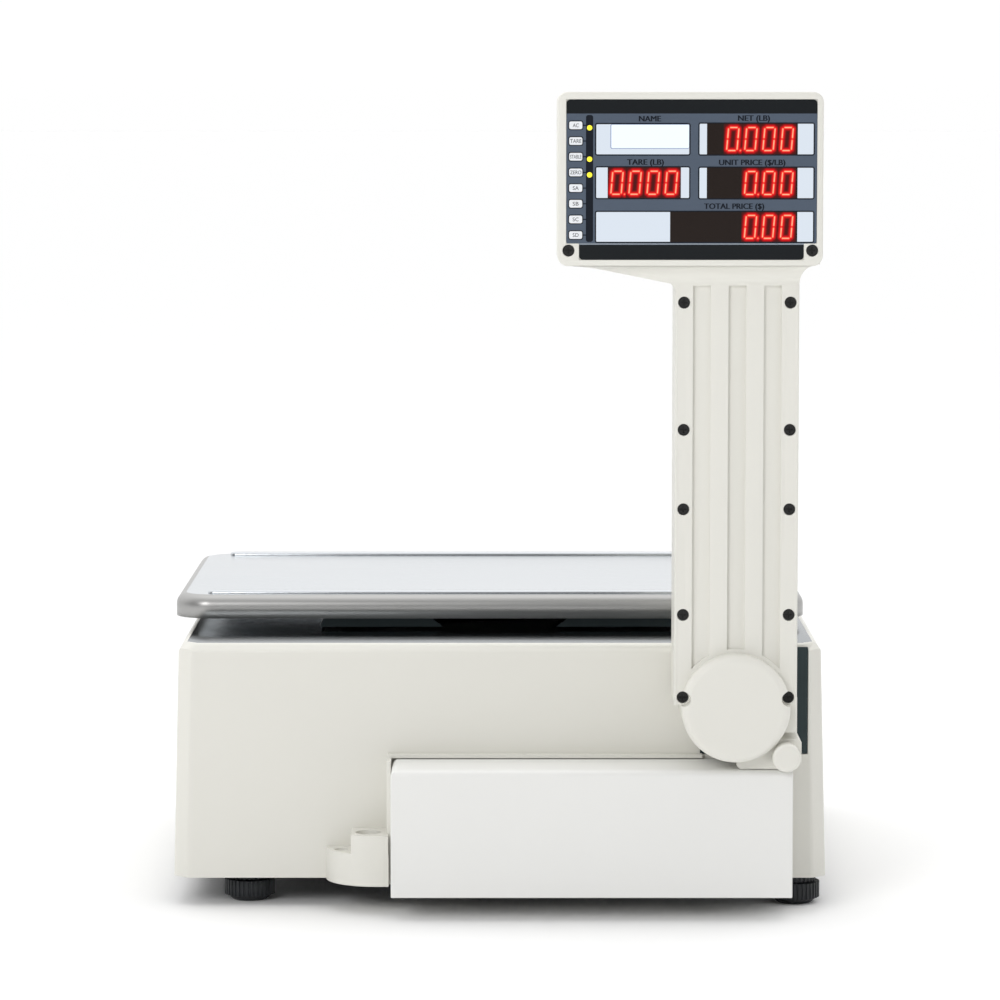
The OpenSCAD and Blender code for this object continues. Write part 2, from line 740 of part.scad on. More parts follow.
// Windows of the customer side, from the overlay's top left corner: x, y, width, height.
window_net = [80.4, 13.7, 51.9, 17.4];
window_tare = [23.7, 38.7, 41.9, 17.3];
window_unit = [80.4, 39, 51.9, 17.2];
window_total = [59.5, 64.1, 72.8, 16.9];
window_name = [25.7, 14.1, 44.6, 13.4];
board_y = head_front + 12;

module module_block(w, depth) {
    along_y(board_y - depth, board_y)
        translate([panel_x0 + w[0], panel_z1 - w[1] - w[3]]) square([w[2], w[3]]);
}

module customer_digit_modules() {
    color(black) at_pivot()
        for (w = [window_net, window_tare, window_unit, window_total]) module_block(w, 8);
}

module name_lcd_module() {
    color([0.85, 0.90, 0.97]) at_pivot() module_block(window_name, 8);
}

module customer_display_board() {
    color(green) at_pivot() difference() {
        along_y(board_y, board_y + 1.6)
            translate([head_left + 8, head_rise + 15]) square([head_w - 16, head_h - 22]);
        for (x = [head_left + 12, head_right - 12], z = [head_rise + 20, head_rise + head_h - 12])
            rod_y(board_y - 1, board_y + 3, x, z, 1.6);
    }
}

module operator_overlay() {
    color(slate) at_pivot()
        along_y(post_back - panel_t, post_back - 0.1) operator_outline(0.15);
}

operator_board_y = post_back - 12;

module operator_display_board() {
    color(green) at_pivot() difference() {
        along_y(operator_board_y - 1.6, operator_board_y)
            translate([head_left + 12, head_rise + 18]) square([head_w - 24, head_h - 26]);
        for (x = [head_left + 16, head_right - 16], z = [head_rise + 22, head_rise + head_h - 13])
            rod_y(operator_board_y - 3, operator_board_y + 1, x, z, 1.6);
    }
}

module operator_lcd_module() {
    color([0.55, 0.62, 0.55]) at_pivot() along_y(operator_board_y, post_back - 4.6)
        translate([head_left + 16, head_rise + 32]) square([head_w - 32, head_h - 48]);
}

// ---------------------------------------------------------------- rear box and frame

frame_wall = 2.5;
frame_out = 22;      // how far the frame's upright stands out
lug_r = 30;
lug_step = [30, 19]; // heights of the lug's two steps
lug_x = box_x0 - frame_wall - 0.5;

module lug_plan() {
    translate([lug_x - 6.5, face_y]) intersection() {
        circle(lug_r);
        translate([-lug_r, -lug_r]) square([lug_r, lug_r]);
    }
    translate([lug_x - 6.5, face_y - lug_r]) square([6.5 + frame_wall / 2, lug_r]);
}

module rear_frame() {
    far = pivot_x - 17;
    color(cream) {
        difference() {
            union() {
                block([lug_x, lug_x + frame_wall], [face_y - frame_out, face_y],
                      [base_z, box_top + fold_gap - 0.5]);
                block([lug_x, far], [face_y - 6, face_y], [box_top + 0.6, box_top + 2.8]);
                block([lug_x, box_x0 + 56], [face_y - 2.5, face_y], [base_z, box_top + 1]);
                block([lug_x, far], [face_y - 2.5, face_y], [box_top - 16, box_top + 1]);
            }
            for (p = [[box_x0 + 14, base_z + 14], [box_x0 + 14, box_top - 12], [far - 14, box_top - 8]])
                rod_y(face_y - 4, face_y + 1, p[0], p[1], 1.9);
        }
        difference() {
            union() {
                translate([0, 0, base_z]) linear_extrude(lug_step[1]) lug_plan();
                intersection() {
                    translate([0, 0, base_z]) linear_extrude(lug_step[0]) lug_plan();
                    block([lug_x - 21, lug_x + 1], [face_y - 40, face_y], [0, top_z]);
                }
            }
            translate([lug_x - 11, face_y - 15, base_z + lug_step[0] - 14]) cylinder(h = 20, r = 7.6);
            translate([lug_x - 11, face_y - 15, base_z - 1]) cylinder(h = 30, r = 2.2);
            translate([lug_x - 27, face_y - 10, base_z + lug_step[1] - 9]) cylinder(h = 20, r = 4.4);
        }
    }
}

module rear_frame_screws() {
    far = pivot_x - 17;
    color(steel)
        for (p = [[box_x0 + 14, base_z + 14], [box_x0 + 14, box_top - 12], [far - 14, box_top - 8]])
            translate([p[0], face_y - 4.3, p[1]]) rotate([90, 0, 0]) screw(3.2, 1.8, 1.6, 2.4);
}

module rear_box_cover() {
    t = 2.5;
    r = 4;
    z = [base_z - box_drop, box_top];
    y0 = face_y - box_out;
    y1 = face_y - 2.7;
    color([0.91, 0.91, 0.89]) difference() {
        intersection() {
            along_x(box_x0, box_x1) {
                translate([y0, z[0]]) square([y1 - y0, z[1] - z[0] - r]);
                translate([y0 + r, z[0]]) square([y1 - y0 - r, z[1] - z[0]]);
                translate([y0 + r, z[1] - r]) circle(r);
            }
            along_y(y0, y1) {
                translate([box_x0, z[0]]) square([box_w, z[1] - z[0] - r]);
                translate([box_x0 + r, z[0]]) square([box_w - r, z[1] - z[0]]);
                translate([box_x0 + r, z[1] - r]) circle(r);
            }
        }
        block([box_x0 + t, box_x1 - t], [y0 + t, y1 + 1], [z[0] + t, z[1] - t]);
        // cable notch in the floor
        block([box_x1 - 60, box_x1 - 44], [y1 - 14, y1 + 1], [z[0] - 1, z[0] + 2 * t]);
    }
}

// ---------------------------------------------------------------- operator side

key_cols = 12;
key_rows = 7;
key_gap = 2.4;

module keypad_overlay() {
    w = keypad_x1 - keypad_x0;
    h = slope_len - 2 * keypad_margin;
    kw = (w - 10) / key_cols;
    kh = (h - 10) / key_rows;
    color(slate) on_slope() translate([0, 0, -panel_t]) {
        linear_extrude(panel_t) keypad_outline(0);
        for (i = [0:key_cols - 1], j = [0:key_rows - 1])
            translate([keypad_x0 + 5 + i * kw + key_gap / 2, keypad_margin + 5 + j * kh + key_gap / 2,
                       panel_t - eps])
                cube([kw - key_gap, kh - key_gap, 0.6]);
    }
}

module keypad_board() {
    color(green) on_slope() translate([0, 0, -2 * wall]) linear_extrude(1.6) keypad_outline(-7);
}

module spirit_level() {
    color([0.75, 0.85, 0.35]) translate([vial_pos[0], vial_pos[1], top_z - wall + 0.8])
        difference() {
            cylinder(h = wall - 0.8, r = vial_r);
            translate([0, 0, wall - 1.4]) cylinder(h = 2, r = vial_r - 1.2);
        }
}

module main_board() {
    x = [16, 150];
    y = [slope_y - 74, slope_y + 12];
    z = floor_z + 8;
    color(green) difference() {
        block(x, y, [z, z + 1.6]);
        for (px = [x[0] + 5, x[1] - 5], py = [y[0] + 5, y[1] - 5])
            translate([px, py, z - 1]) cylinder(h = 4, r = 1.7);
    }
    color(steel) for (px = [x[0] + 5, x[1] - 5], py = [y[0] + 5, y[1] - 5])
        translate([px, py, floor_z]) cylinder(h = z - floor_z, r = 3);
    color(black) for (c = [[34, 20, 22, 22, 2.4], [72, 18, 16, 10, 2], [72, 40, 16, 10, 2],
                           [104, 22, 20, 26, 9], [20, 60, 40, 8, 6]])
        block([x[0] + c[0] - 10, x[0] + c[0] - 10 + c[2]], [y[0] + c[1], y[0] + c[1] + c[3]],
              [z + 1.6, z + 1.6 + c[4]]);
}

module power_supply() {
    x = [40, 140];
    y = [face_y + 14, face_y + 74];
    z = floor_z + 3.2;
    color(steel) difference() {
        block(x, y, [z, z + 34]);
        for (i = [0:8]) block([x[0] + 12 + i * 9, x[0] + 16 + i * 9], [y[0] + 10, y[1] - 10],
                              [z + 32.5, z + 36]);
    }
}

module power_inlet() {
    x1 = body_w / 2 - side_draft * (inlet_z - base_z) / body_h;
    color(black) {
        difference() {
            block([x1 - 26, x1 - 0.4], [inlet_y - 13.7, inlet_y + 13.7], [inlet_z - 10, inlet_z + 10]);
            block([x1 - 18, x1 + 1], [inlet_y - 11.7, inlet_y + 11.7], [inlet_z - 8, inlet_z + 8]);
        }
        for (p = [[-6.5, -1.5], [6.5, -1.5], [0, 2.8]])
            block([x1 - 18.5, x1 - 5], [inlet_y + p[0] - 2, inlet_y + p[0] + 2],
                  [inlet_z + p[1] - 1, inlet_z + p[1] + 1]);
        difference() {
            block([x1 - 20, x1 - 0.4], [rocker_y - 11, rocker_y + 11], [inlet_z - 10, inlet_z + 10]);
            block([x1 - 14, x1 + 1], [rocker_y - 9.4, rocker_y + 9.4], [inlet_z - 7.4, inlet_z + 7.4]);
            translate([rocker_x, rocker_y, inlet_z - 8.6])
                cylinder(h = 17.2, r = rocker_pin_r + run_gap);
        }
    }
}

rocker_x = body_w / 2 - 6.5;
rocker_pin_r = 1.2;

// See-saw switch cap on its own short axle, resting tipped to the on side.
module power_rocker() {
    color([0.75, 0.10, 0.08]) translate([rocker_x, rocker_y, inlet_z]) {
        translate([0, 0, -7]) linear_extrude(14)
            polygon([[-4, -7.6], [3.4, -8], [1.9, 0], [4.4, 8], [-4, 7.6]]);
        translate([0, 0, -8.4]) cylinder(h = 16.8, r = rocker_pin_r);
    }
}

module io_sockets() {
    x1 = body_w / 2 - side_draft * (inlet_z - base_z) / body_h;
    color(black) for (y = socket_y) difference() {
        block([x1 - 18, x1 - 0.6], [y - 9.2, y + 9.2], [inlet_z - 6.5, inlet_z + 6.5]);
        block([x1 - 13, x1 + 1], [y - 6.4, y + 6.4], [inlet_z - 4.4, inlet_z + 4]);
        block([x1 - 13, x1 + 1], [y - 3, y + 3], [inlet_z - 5.6, inlet_z]);
    }
}

// ---------------------------------------------------------------- label printer drawer

drawer_gap = 0.8;

// Solid behind the drawer's face: the housing's own slope and front, between two x planes.
module drawer_profile(inset, x0, x1) {
    intersection() {
        housing(inset, 1);
        block([x0, x1], [slope_y + 4 + drawer_gap + inset * 0, front_y + 1],
              [bay_z0 + drawer_gap, top_z + 1]);
    }
}

slot_up = 52; // label slot's distance up the slope

module printer_drawer_front() {
    x = [bay_x0 + drawer_gap, bay_x1 - drawer_gap];
    color(cream) difference() {
        drawer_profile(0, x[0], x[1]);
        intersection() {
            housing(wall, 2);
            block([x[0] + 2.5, x[1] - 2.5], [slope_y - 10, front_y + 1], [bay_z0 - 2, top_z + 1]);
        }
        // label slot, and the opening for the latch button below it
        on_slope() translate([-(side_l + side_r) / 2 - 32, slot_up, -2 * wall - 4])
            cube([64, 6, 3 * wall + 8]);
        rod_y(front_y - 2 * wall, front_y + 1, latch_x, latch_z, latch_r + slide_gap / 2);
    }
}

latch_x = (side_l + side_r) / 2;
latch_z = base_z + 30;
latch_r = 8;

module drawer_latch_button() {
    color(slate) translate([latch_x, front_y - 7, latch_z]) rotate([-90, 0, 0])
        rotate_extrude() {
            square([latch_r, 7.6]);
            square([latch_r - 1.2, 8.8]);
            translate([latch_r - 1.2, 7.6]) circle(1.2);
        }
}

module printer_tray() {
    color(steel) difference() {
        union() {
            block([side_l - 3, side_r + 3], [roll_y - roll_r - 8, front_y - wall - 1.2], [tray_z, tray_z + 2]);
            // runners that ride on the rails
            for (x = [side_l - 2, side_r - 6])
                block([x, x + 8], [roll_y - roll_r - 8, front_y - 8], [bay_z0 + 0.4, tray_z + eps]);
        }
        for (i = [0:3]) block([side_l + 14, side_r - 14],
                              [roll_y - 30 + i * 18, roll_y - 20 + i * 18], [tray_z - 2, tray_z + 3]);
    }
}

module drawer_rails() {
    color(steel) for (x = [side_l - 3.6, side_r + 2.6])
        difference() {
            block([x - 1.6, x + 2.6], [roll_y - roll_r - 10, slope_y + 2], [floor_z, tray_z + 4]);
            if (x < side_l) block([x, x + 4], [roll_y - roll_r - 11, slope_y + 3], [floor_z + 2, tray_z + 5]);
            else block([x - 2, x + 1], [roll_y - roll_r - 11, slope_y + 3], [floor_z + 2, tray_z + 5]);
        }
}

plate = 2;

module plate_outline() {
    polygon([
        [roll_y - 20, tray_z + 2], [front_y - 10, tray_z + 2], [front_y - 10, base_z + 46],
        [platen_y + 16, platen_z + 10], [head_pivot_y + 8, head_pivot_z + 10],
        [head_pivot_y - 10, head_pivot_z + 10], [roll_y - 20, roll_z + 12]]);
}

module printer_side_plates() {
    color(steel) difference() {
        for (x = [side_l - plate, side_r]) along_x(x, x + plate) plate_outline();
        for (b = [[platen_y, platen_z, 3 + run_gap], [spool_y, spool_z, 3 + run_gap],
                  [head_pivot_y, head_pivot_z, 2.5 + run_gap],
                  [roll_y, roll_z, 4 + run_gap]])
            rod_x(side_l - 2 * plate, side_r + 2 * plate, b[0], b[1], b[2]);
        rod_x(side_r - 1, side_r + 2 * plate, motor_y, motor_z, 5);
    }
}

motor_size = 28;

module printer_motor() {
    color(black) translate([side_r - 22, motor_y, motor_z]) rotate([0, 90, 0]) difference() {
        linear_extrude(22) round_rect([-motor_size / 2, motor_size / 2],
                                      [-motor_size / 2, motor_size / 2], 3);
        translate([0, 0, 8]) cylinder(h = 16, r = 2.5 + run_gap);
    }
}

pulley_x = side_r + plate + 1.2;
pulley_w = 7;

// Flanged pulley along X with its rim between pulley_x and pulley_x + pulley_w.
module pulley(y, z, r) {
    rod_x(pulley_x, pulley_x + pulley_w, y, z, r - run_gap);
    for (x = [pulley_x, pulley_x + pulley_w - 1]) rod_x(x, x + 1, y, z, r + 2);
}

module motor_pulley() {
    color(steel) {
        pulley(motor_y, motor_z, motor_pulley_r);
        rod_x(side_r - 12, pulley_x + eps, motor_y, motor_z, 2.5);
    }
}

belt_steps = 16; // facets round each pulley

// Outline of a belt wrapped round both pulleys, at distance grow from their rims.
module belt_outline(grow) {
    dy = platen_y - motor_y;
    dz = platen_z - motor_z;
    reach = sqrt(dy * dy + dz * dz);
    r0 = motor_pulley_r + grow;
    r1 = platen_pulley_r + grow;
    lean = asin((r1 - r0) / reach);
    half0 = 90 - lean;
    half1 = 90 + lean;
    translate([motor_y, motor_z]) rotate(atan2(dz, dy)) polygon(concat(
        [for (i = [0:belt_steps]) let (a = 180 - half0 + 2 * half0 * i / belt_steps)
            [r0 * cos(a), r0 * sin(a)]],
        [for (i = [0:belt_steps]) let (a = -half1 + 2 * half1 * i / belt_steps)
            [reach + r1 * cos(a), r1 * sin(a)]]));
}

module drive_belt() {
    color(black) along_x(pulley_x + 1.3, pulley_x + pulley_w - 1.3) difference() {
        belt_outline(belt_t);
        belt_outline(0.02);
    }
}

module platen_roller() {
    color(black) rod_x(side_l + 2, side_r - 2, platen_y, platen_z, platen_r);
    color(steel) {
        rod_x(side_l - 4, pulley_x + eps, platen_y, platen_z, 3);
        pulley(platen_y, platen_z, platen_pulley_r);
    }
}

// Thermal head on an arm that hinges up off the platen.
module print_head() {
    color(slate) {
        along_x(side_l + 3, side_r - 3) polygon([
            [head_pivot_y - 5, head_pivot_z - 4], [head_pivot_y + 5, head_pivot_z + 4],
            [platen_y + 8, platen_z + platen_r + 8.4], [platen_y + 8, platen_z + platen_r + 0.4],
            [platen_y - 7, platen_z + platen_r + 0.4]]);
        rod_x(side_l - 3, side_r + 2.9, head_pivot_y, head_pivot_z, 2.5);
        rod_x(side_l + 3, side_r - 3, head_pivot_y, head_pivot_z, 5.5);
    }
}

module label_roll() {
    mid = (side_l + side_r) / 2;
    color([0.95, 0.95, 0.92]) difference() {
        rod_x(mid - roll_w / 2, mid + roll_w / 2, roll_y, roll_z, roll_r);
        rod_x(mid - roll_w, mid + roll_w, roll_y, roll_z, 12.7);
    }
    color([0.62, 0.50, 0.36]) difference() {
        rod_x(mid - roll_w / 2, mid + roll_w / 2, roll_y, roll_z, 12.7 - eps);
        rod_x(mid - roll_w, mid + roll_w, roll_y, roll_z, 11);
    }
}

module roll_spindle() {
    mid = (side_l + side_r) / 2;
    color(black) {
        rod_x(side_l - plate, side_r + plate, roll_y, roll_z, 4);
        difference() {
            rod_x(mid - roll_w / 2 - 4, mid + roll_w / 2 + 4, roll_y, roll_z, 10.9);
            for (s = [0, 60, 120]) translate([0, roll_y, roll_z]) rotate([s, 0, 0])
                block([mid - roll_w, mid + roll_w], [-1.5, 1.5], [7, 12]);
            for (s = [0, 60, 120]) translate([0, roll_y, roll_z]) rotate([s + 180, 0, 0])
                block([mid - roll_w, mid + roll_w], [-1.5, 1.5], [7, 12]);
        }
    }
}

module takeup_spool() {
    mid = (side_l + side_r) / 2;
    color(slate) {
        rod_x(side_l - 3, side_r + 2.9, spool_y, spool_z, 3);
        rod_x(mid - 31, mid + 31, spool_y, spool_z, 9);
        for (x = [mid - 33, mid + 31]) rod_x(x, x + 2, spool_y, spool_z, 17);
    }
}

// ---------------------------------------------------------------- feet

foot_pad_h = 3.2;
wheel_top = foot_h - 4.2;

module foot(i, j) {
    color(black) translate(foot_at(i, j)) {
        rotate_extrude() polygon([[0, 0], [10, 0], [11.8, 1.6], [11.8, foot_pad_h], [0, foot_pad_h]]);
        translate([0, 0, foot_pad_h - eps]) knurl(foot_r, wheel_top - foot_pad_h + eps, 34, 0.8);
        cylinder(h = base_z + foot_boss_h(i, j) - 3, r = stud_r);
    }
}

module lock_ring(i, j) {
    color(black) translate([0, 0, wheel_top + 0.3]) translate(foot_at(i, j)) difference() {
        knurl(ring_r, foot_h - wheel_top - 0.6, 28, 0.7);
        translate([0, 0, -1]) cylinder(h = 10, r = stud_r + run_gap);
    }
}

// ---------------------------------------------------------------- what is drawn

body_cover();
lower_chassis();
cover_screws();
hinge_mounting_plate();
hinge_bracket();
hinge_pivot_tube();
hinge_retaining_ring();
hinge_release_button();
hinge_cap();
rear_frame();
rear_frame_screws();
rear_box_cover();
weighing_pan();
pan_support_frame();
pan_rubber_pads();
load_cell();
load_cell_mount();
load_cell_screws();
post_front_shell();
post_rear_shell();
post_screws();
customer_overlay();
customer_display_board();
customer_digit_modules();
name_lcd_module();
operator_overlay();
operator_display_board();
operator_lcd_module();
keypad_overlay();
keypad_board();
spirit_level();
main_board();
power_supply();
power_inlet();
power_rocker();
io_sockets();
drawer_rails();
printer_drawer_front();
printer_tray();
printer_side_plates();
printer_motor();
motor_pulley();
drive_belt();
platen_roller();
print_head();
label_roll();
roll_spindle();
takeup_spool();
drawer_latch_button();
foot(0, 0);  // foot_customer_left
foot(1, 0);  // foot_customer_right
foot(0, 1);  // foot_operator_left
foot(1, 1);  // foot_operator_right
lock_ring(0, 0);  // lock_ring_customer_left
lock_ring(1, 0);  // lock_ring_customer_right
lock_ring(0, 1);  // lock_ring_operator_left
lock_ring(1, 1);  // lock_ring_operator_right
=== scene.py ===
"""Looks of a label printing scale with a stainless pan and a folding customer display.

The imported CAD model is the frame: every piece here takes its place from a CAD node's box
and rides on a CAD body. Lengths are in metres; -Y faces the customer and +Z is up.
"""

import json
import logging
import math
from dataclasses import dataclass, field
from enum import Enum
from typing import Callable, Iterable, Sequence

import bmesh
import bpy
from mathutils import Matrix, Vector


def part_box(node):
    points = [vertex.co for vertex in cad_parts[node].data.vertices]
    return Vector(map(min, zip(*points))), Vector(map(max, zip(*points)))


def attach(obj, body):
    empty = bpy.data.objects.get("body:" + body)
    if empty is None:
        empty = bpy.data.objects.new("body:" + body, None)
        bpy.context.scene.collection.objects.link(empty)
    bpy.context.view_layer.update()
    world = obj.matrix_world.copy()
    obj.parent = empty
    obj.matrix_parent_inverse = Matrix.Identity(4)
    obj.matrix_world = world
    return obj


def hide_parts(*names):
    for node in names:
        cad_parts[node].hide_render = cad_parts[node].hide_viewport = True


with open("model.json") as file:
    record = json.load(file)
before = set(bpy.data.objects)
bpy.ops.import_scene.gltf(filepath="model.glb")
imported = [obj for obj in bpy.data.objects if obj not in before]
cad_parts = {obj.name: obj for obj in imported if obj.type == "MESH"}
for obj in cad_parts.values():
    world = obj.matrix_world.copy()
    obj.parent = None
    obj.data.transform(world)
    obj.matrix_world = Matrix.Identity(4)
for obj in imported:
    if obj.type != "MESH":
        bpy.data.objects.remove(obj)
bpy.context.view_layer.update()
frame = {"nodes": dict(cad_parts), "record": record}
MM = 0.001

logging.basicConfig(level=logging.INFO, format="%(message)s")
log = logging.getLogger("scale")

Colour = tuple[float, float, float]


# ------------------------------------------------------------------ shader helpers


class Tree:
    """Adds nodes to one node tree and links them."""

    def __init__(self, tree: bpy.types.NodeTree) -> None:
        """Keeps the tree that the nodes go into."""
        self.tree = tree

    def node(self, kind: str, **values: object) -> bpy.types.Node:
        """Adds a node.

        Args:
            kind: The node type without its "ShaderNode" start.
            values: Properties of the node by name.

        Returns:
            The new node.
        """
        made = self.tree.nodes.new("ShaderNode" + kind)
        for key, value in values.items():
            setattr(made, key, value)
        return made

    def put(self, node: bpy.types.Node, **inputs: object) -> bpy.types.Node:
        """Sets or links inputs by name, with underscores for spaces.

        Args:
            node: The node whose inputs are filled.
            inputs: Constants, or output sockets to link from.

        Returns:
            The same node.
        """
        for key, value in inputs.items():
            socket = node.inputs[key.replace("_", " ")]
            if isinstance(value, bpy.types.NodeSocket):
                self.tree.links.new(value, socket)
            elif socket.type == "RGBA" and len(value) == 3:
                socket.default_value = (*value, 1.0)
            else:
                socket.default_value = value
        return node

    def math(self, operation: str, first: object, second: object = 0.0) -> bpy.types.NodeSocket:
        """Adds a Math node.

        Args:
            operation: The Math node's operation.
            first: A number or an output socket.
            second: A number or an output socket.

        Returns:
            The result's socket.
        """
        made = self.node("Math", operation=operation)
        for socket, value in zip(made.inputs, (first, second)):
            if isinstance(value, bpy.types.NodeSocket):
                self.tree.links.new(value, socket)
            else:
                socket.default_value = value
        return made.outputs[0]

    def noise(
        self, vector: bpy.types.NodeSocket, scale: object, detail: float
    ) -> bpy.types.NodeSocket:
        """Adds a noise texture and returns its value socket."""
        made = self.put(self.node("TexNoise"), Vector=vector, Scale=scale, Detail=detail)
        return made.outputs[0]


class Group:
    """A shared shader effect with named inputs and outputs."""

    def __init__(self, name: str, inputs: dict[str, str], outputs: dict[str, str]) -> None:
        """Makes the group and its sockets.

        Args:
            name: The group's name.
            inputs: Socket type by input name.
            outputs: Socket type by output name.
        """
        self.data = bpy.data.node_groups.new(name, "ShaderNodeTree")
        for way, sockets in (("INPUT", inputs), ("OUTPUT", outputs)):
            for key, kind in sockets.items():
                self.data.interface.new_socket(
                    name=key, in_out=way, socket_type="NodeSocket" + kind
                )
        self.tree = Tree(self.data)
        self.given = self.data.nodes.new("NodeGroupInput").outputs
        self.result = self.data.nodes.new("NodeGroupOutput").inputs

    def place(self, tree: Tree, **inputs: object) -> bpy.types.Node:
        """Puts the group into a material with its own values and returns the node."""
        made = tree.node("Group", node_tree=self.data)
        return tree.put(made, **inputs)


def grain_group() -> Group:
    """Makes the fine spark-eroded grain and faint mottling of moulded plastic.

    Returns:
        The group, with Colour, Roughness and Height outputs.
    """
    group = Group(
        "Moulded grain",
        {
            "Colour": "Color",
            "Scale": "Float",
            "Mottle": "Float",
            "Roughness": "Float",
            "Spread": "Float",
        },
        {"Colour": "Color", "Roughness": "Float", "Height": "Float"},
    )
    tree, given = group.tree, group.given
    place = tree.node("TexCoord").outputs["Object"]
    fine = tree.noise(place, given["Scale"], 2.0)
    broad = tree.noise(place, 14.0, 3.0)
    value = tree.node("MapRange")
    tree.put(
        value,
        Value=broad,
        To_Min=tree.math("SUBTRACT", 1.0, given["Mottle"]),
        To_Max=tree.math("ADD", 1.0, given["Mottle"]),
    )
    tint = tree.put(tree.node("HueSaturation"), Color=given["Colour"], Value=value.outputs[0])
    wobble = tree.math("MULTIPLY", tree.math("SUBTRACT", broad, 0.5), given["Spread"])
    links = group.data.links
    links.new(tint.outputs[0], group.result["Colour"])
    links.new(tree.math("ADD", given["Roughness"], wobble), group.result["Roughness"])
    links.new(fine, group.result["Height"])
    return group


def brushing_group() -> Group:
    """Makes the long fine scratches of brushed or rolled sheet metal.

    Returns:
        The group, with Lines, Roughness and Colour outputs.
    """
    group = Group(
        "Brushed lines",
        {
            "Colour": "Color",
            "Stretch": "Vector",
            "Roughness": "Float",
            "Spread": "Float",
            "Tone": "Float",
        },
        {"Colour": "Color", "Roughness": "Float", "Lines": "Float"},
    )
    tree, given = group.tree, group.given
    place = tree.node("TexCoord").outputs["Object"]
    mapping = tree.put(tree.node("Mapping"), Vector=place, Scale=given["Stretch"])
    lines = tree.noise(mapping.outputs[0], 1.0, 6.0)
    broad = tree.noise(place, 6.0, 2.0)
    value = tree.node("MapRange")
    tree.put(
        value,
        Value=lines,
        To_Min=tree.math("SUBTRACT", 1.0, given["Tone"]),
        To_Max=tree.math("ADD", 1.0, given["Tone"]),
    )
    tint = tree.put(tree.node("HueSaturation"), Color=given["Colour"], Value=value.outputs[0])
    mixed = tree.math("ADD", tree.math("SUBTRACT", lines, 0.5), tree.math("SUBTRACT", broad, 0.5))
    links = group.data.links
    links.new(tint.outputs[0], group.result["Colour"])
    rough = tree.math("ADD", given["Roughness"], tree.math("MULTIPLY", mixed, given["Spread"]))
    links.new(rough, group.result["Roughness"])
    links.new(lines, group.result["Lines"])
    return group


GRAIN = grain_group()
BRUSHING = brushing_group()


def new_material(name: str) -> tuple[bpy.types.Material, Tree, bpy.types.Node]:
    """Makes an empty material.

    Args:
        name: The material's name.

    Returns:
        The material, its tree and its Principled shader.
    """
    material = bpy.data.materials.new(name)
    material.use_nodes = True
    tree = Tree(material.node_tree)
    return material, tree, material.node_tree.nodes["Principled BSDF"]


@dataclass(frozen=True)
class Moulded:
    """Moulded plastic, rubber or powder coat: fine grain over faint mottling."""

    name: str
    colour: Colour
    roughness: float = 0.42
    grain: float = 1400.0
    depth: float = 0.02
    mottle: float = 0.012
    spread: float = 0.08
    coat: float = 0.0
    specular: float = 0.5

    def build(self) -> bpy.types.Material:
        """Returns the finished material."""
        material, tree, shader = new_material(self.name)
        grain = GRAIN.place(
            tree,
            Colour=self.colour,
            Scale=self.grain,
            Mottle=self.mottle,
            Roughness=self.roughness,
            Spread=self.spread,
        )
        bump = tree.put(
            tree.node("Bump"),
            Height=grain.outputs["Height"],
            Strength=self.depth * 5,
            Distance=0.0002,
        )
        tree.put(
            shader,
            Base_Color=grain.outputs["Colour"],
            Roughness=grain.outputs["Roughness"],
            Normal=bump.outputs[0],
            Coat_Weight=self.coat,
            Coat_Roughness=0.12,
            Specular_IOR_Level=self.specular,
        )
        return material


@dataclass(frozen=True)
class Metal:
    """Bare sheet or machined metal with directional scratches."""

    name: str
    colour: Colour
    roughness: float = 0.28
    stretch: tuple[float, float, float] = (12.0, 2600.0, 2600.0)
    depth: float = 0.06
    tone: float = 0.05
    spread: float = 0.12

    def build(self) -> bpy.types.Material:
        """Returns the finished material."""
        material, tree, shader = new_material(self.name)
        lines = BRUSHING.place(
            tree,
            Colour=self.colour,
            Stretch=self.stretch,
            Roughness=self.roughness,
            Spread=self.spread,
            Tone=self.tone,
        )
        bump = tree.put(
            tree.node("Bump"), Height=lines.outputs["Lines"], Strength=self.depth, Distance=0.0002
        )
        tree.put(
            shader,
            Base_Color=lines.outputs["Colour"],
            Roughness=lines.outputs["Roughness"],
            Normal=bump.outputs[0],
            Metallic=1.0,
        )
        return material


@dataclass(frozen=True)
class Lit:
    """A lamp or backlit window that glows by itself, a little unevenly; also the pale window panes,
    whose glow is painted light.
    """

    name: str
    colour: Colour
    strength: float = 1.0
    unevenness: float = 0.06

    def build(self) -> bpy.types.Material:
        """Returns the finished material."""
        material, tree, shader = new_material(self.name)
        grain = GRAIN.place(
            tree,
            Colour=self.colour,
            Scale=400.0,
            Mottle=self.unevenness,
            Roughness=0.3,
            Spread=0.05,
        )
        tree.put(
            shader,
            Base_Color=(0.02, 0.02, 0.02),
            Roughness=grain.outputs["Roughness"],
            Emission_Color=grain.outputs["Colour"],
            Emission_Strength=self.strength,
        )
        return material


@dataclass(frozen=True)
class Numerals:
    """Seven-segment numerals, shaded by the piece's own "glow" attribute."""

    name: str
    stops: tuple[tuple[float, Colour], ...]
    emission: float

    def build(self) -> bpy.types.Material:
        """Returns the finished material."""
        material, tree, shader = new_material(self.name)
        glow = tree.node("Attribute", attribute_name="glow")
        ramp = tree.node("ValToRGB")
        points = ramp.color_ramp.elements
        while len(points) < len(self.stops):
            points.new(0.5)
        for point, (place, colour) in zip(points, self.stops):
            point.position = place
            point.color = (*colour, 1.0)
        tree.put(ramp, Fac=glow.outputs["Fac"])
        tree.put(shader, Roughness=0.25, Specular_IOR_Level=0.1)
        if self.emission > 0:
            tree.put(
                shader,
                Base_Color=(0.01, 0.006, 0.005),
                Emission_Color=ramp.outputs[0],
                Emission_Strength=self.emission,
            )
        else:
            tree.put(shader, Base_Color=ramp.outputs[0])
        return material


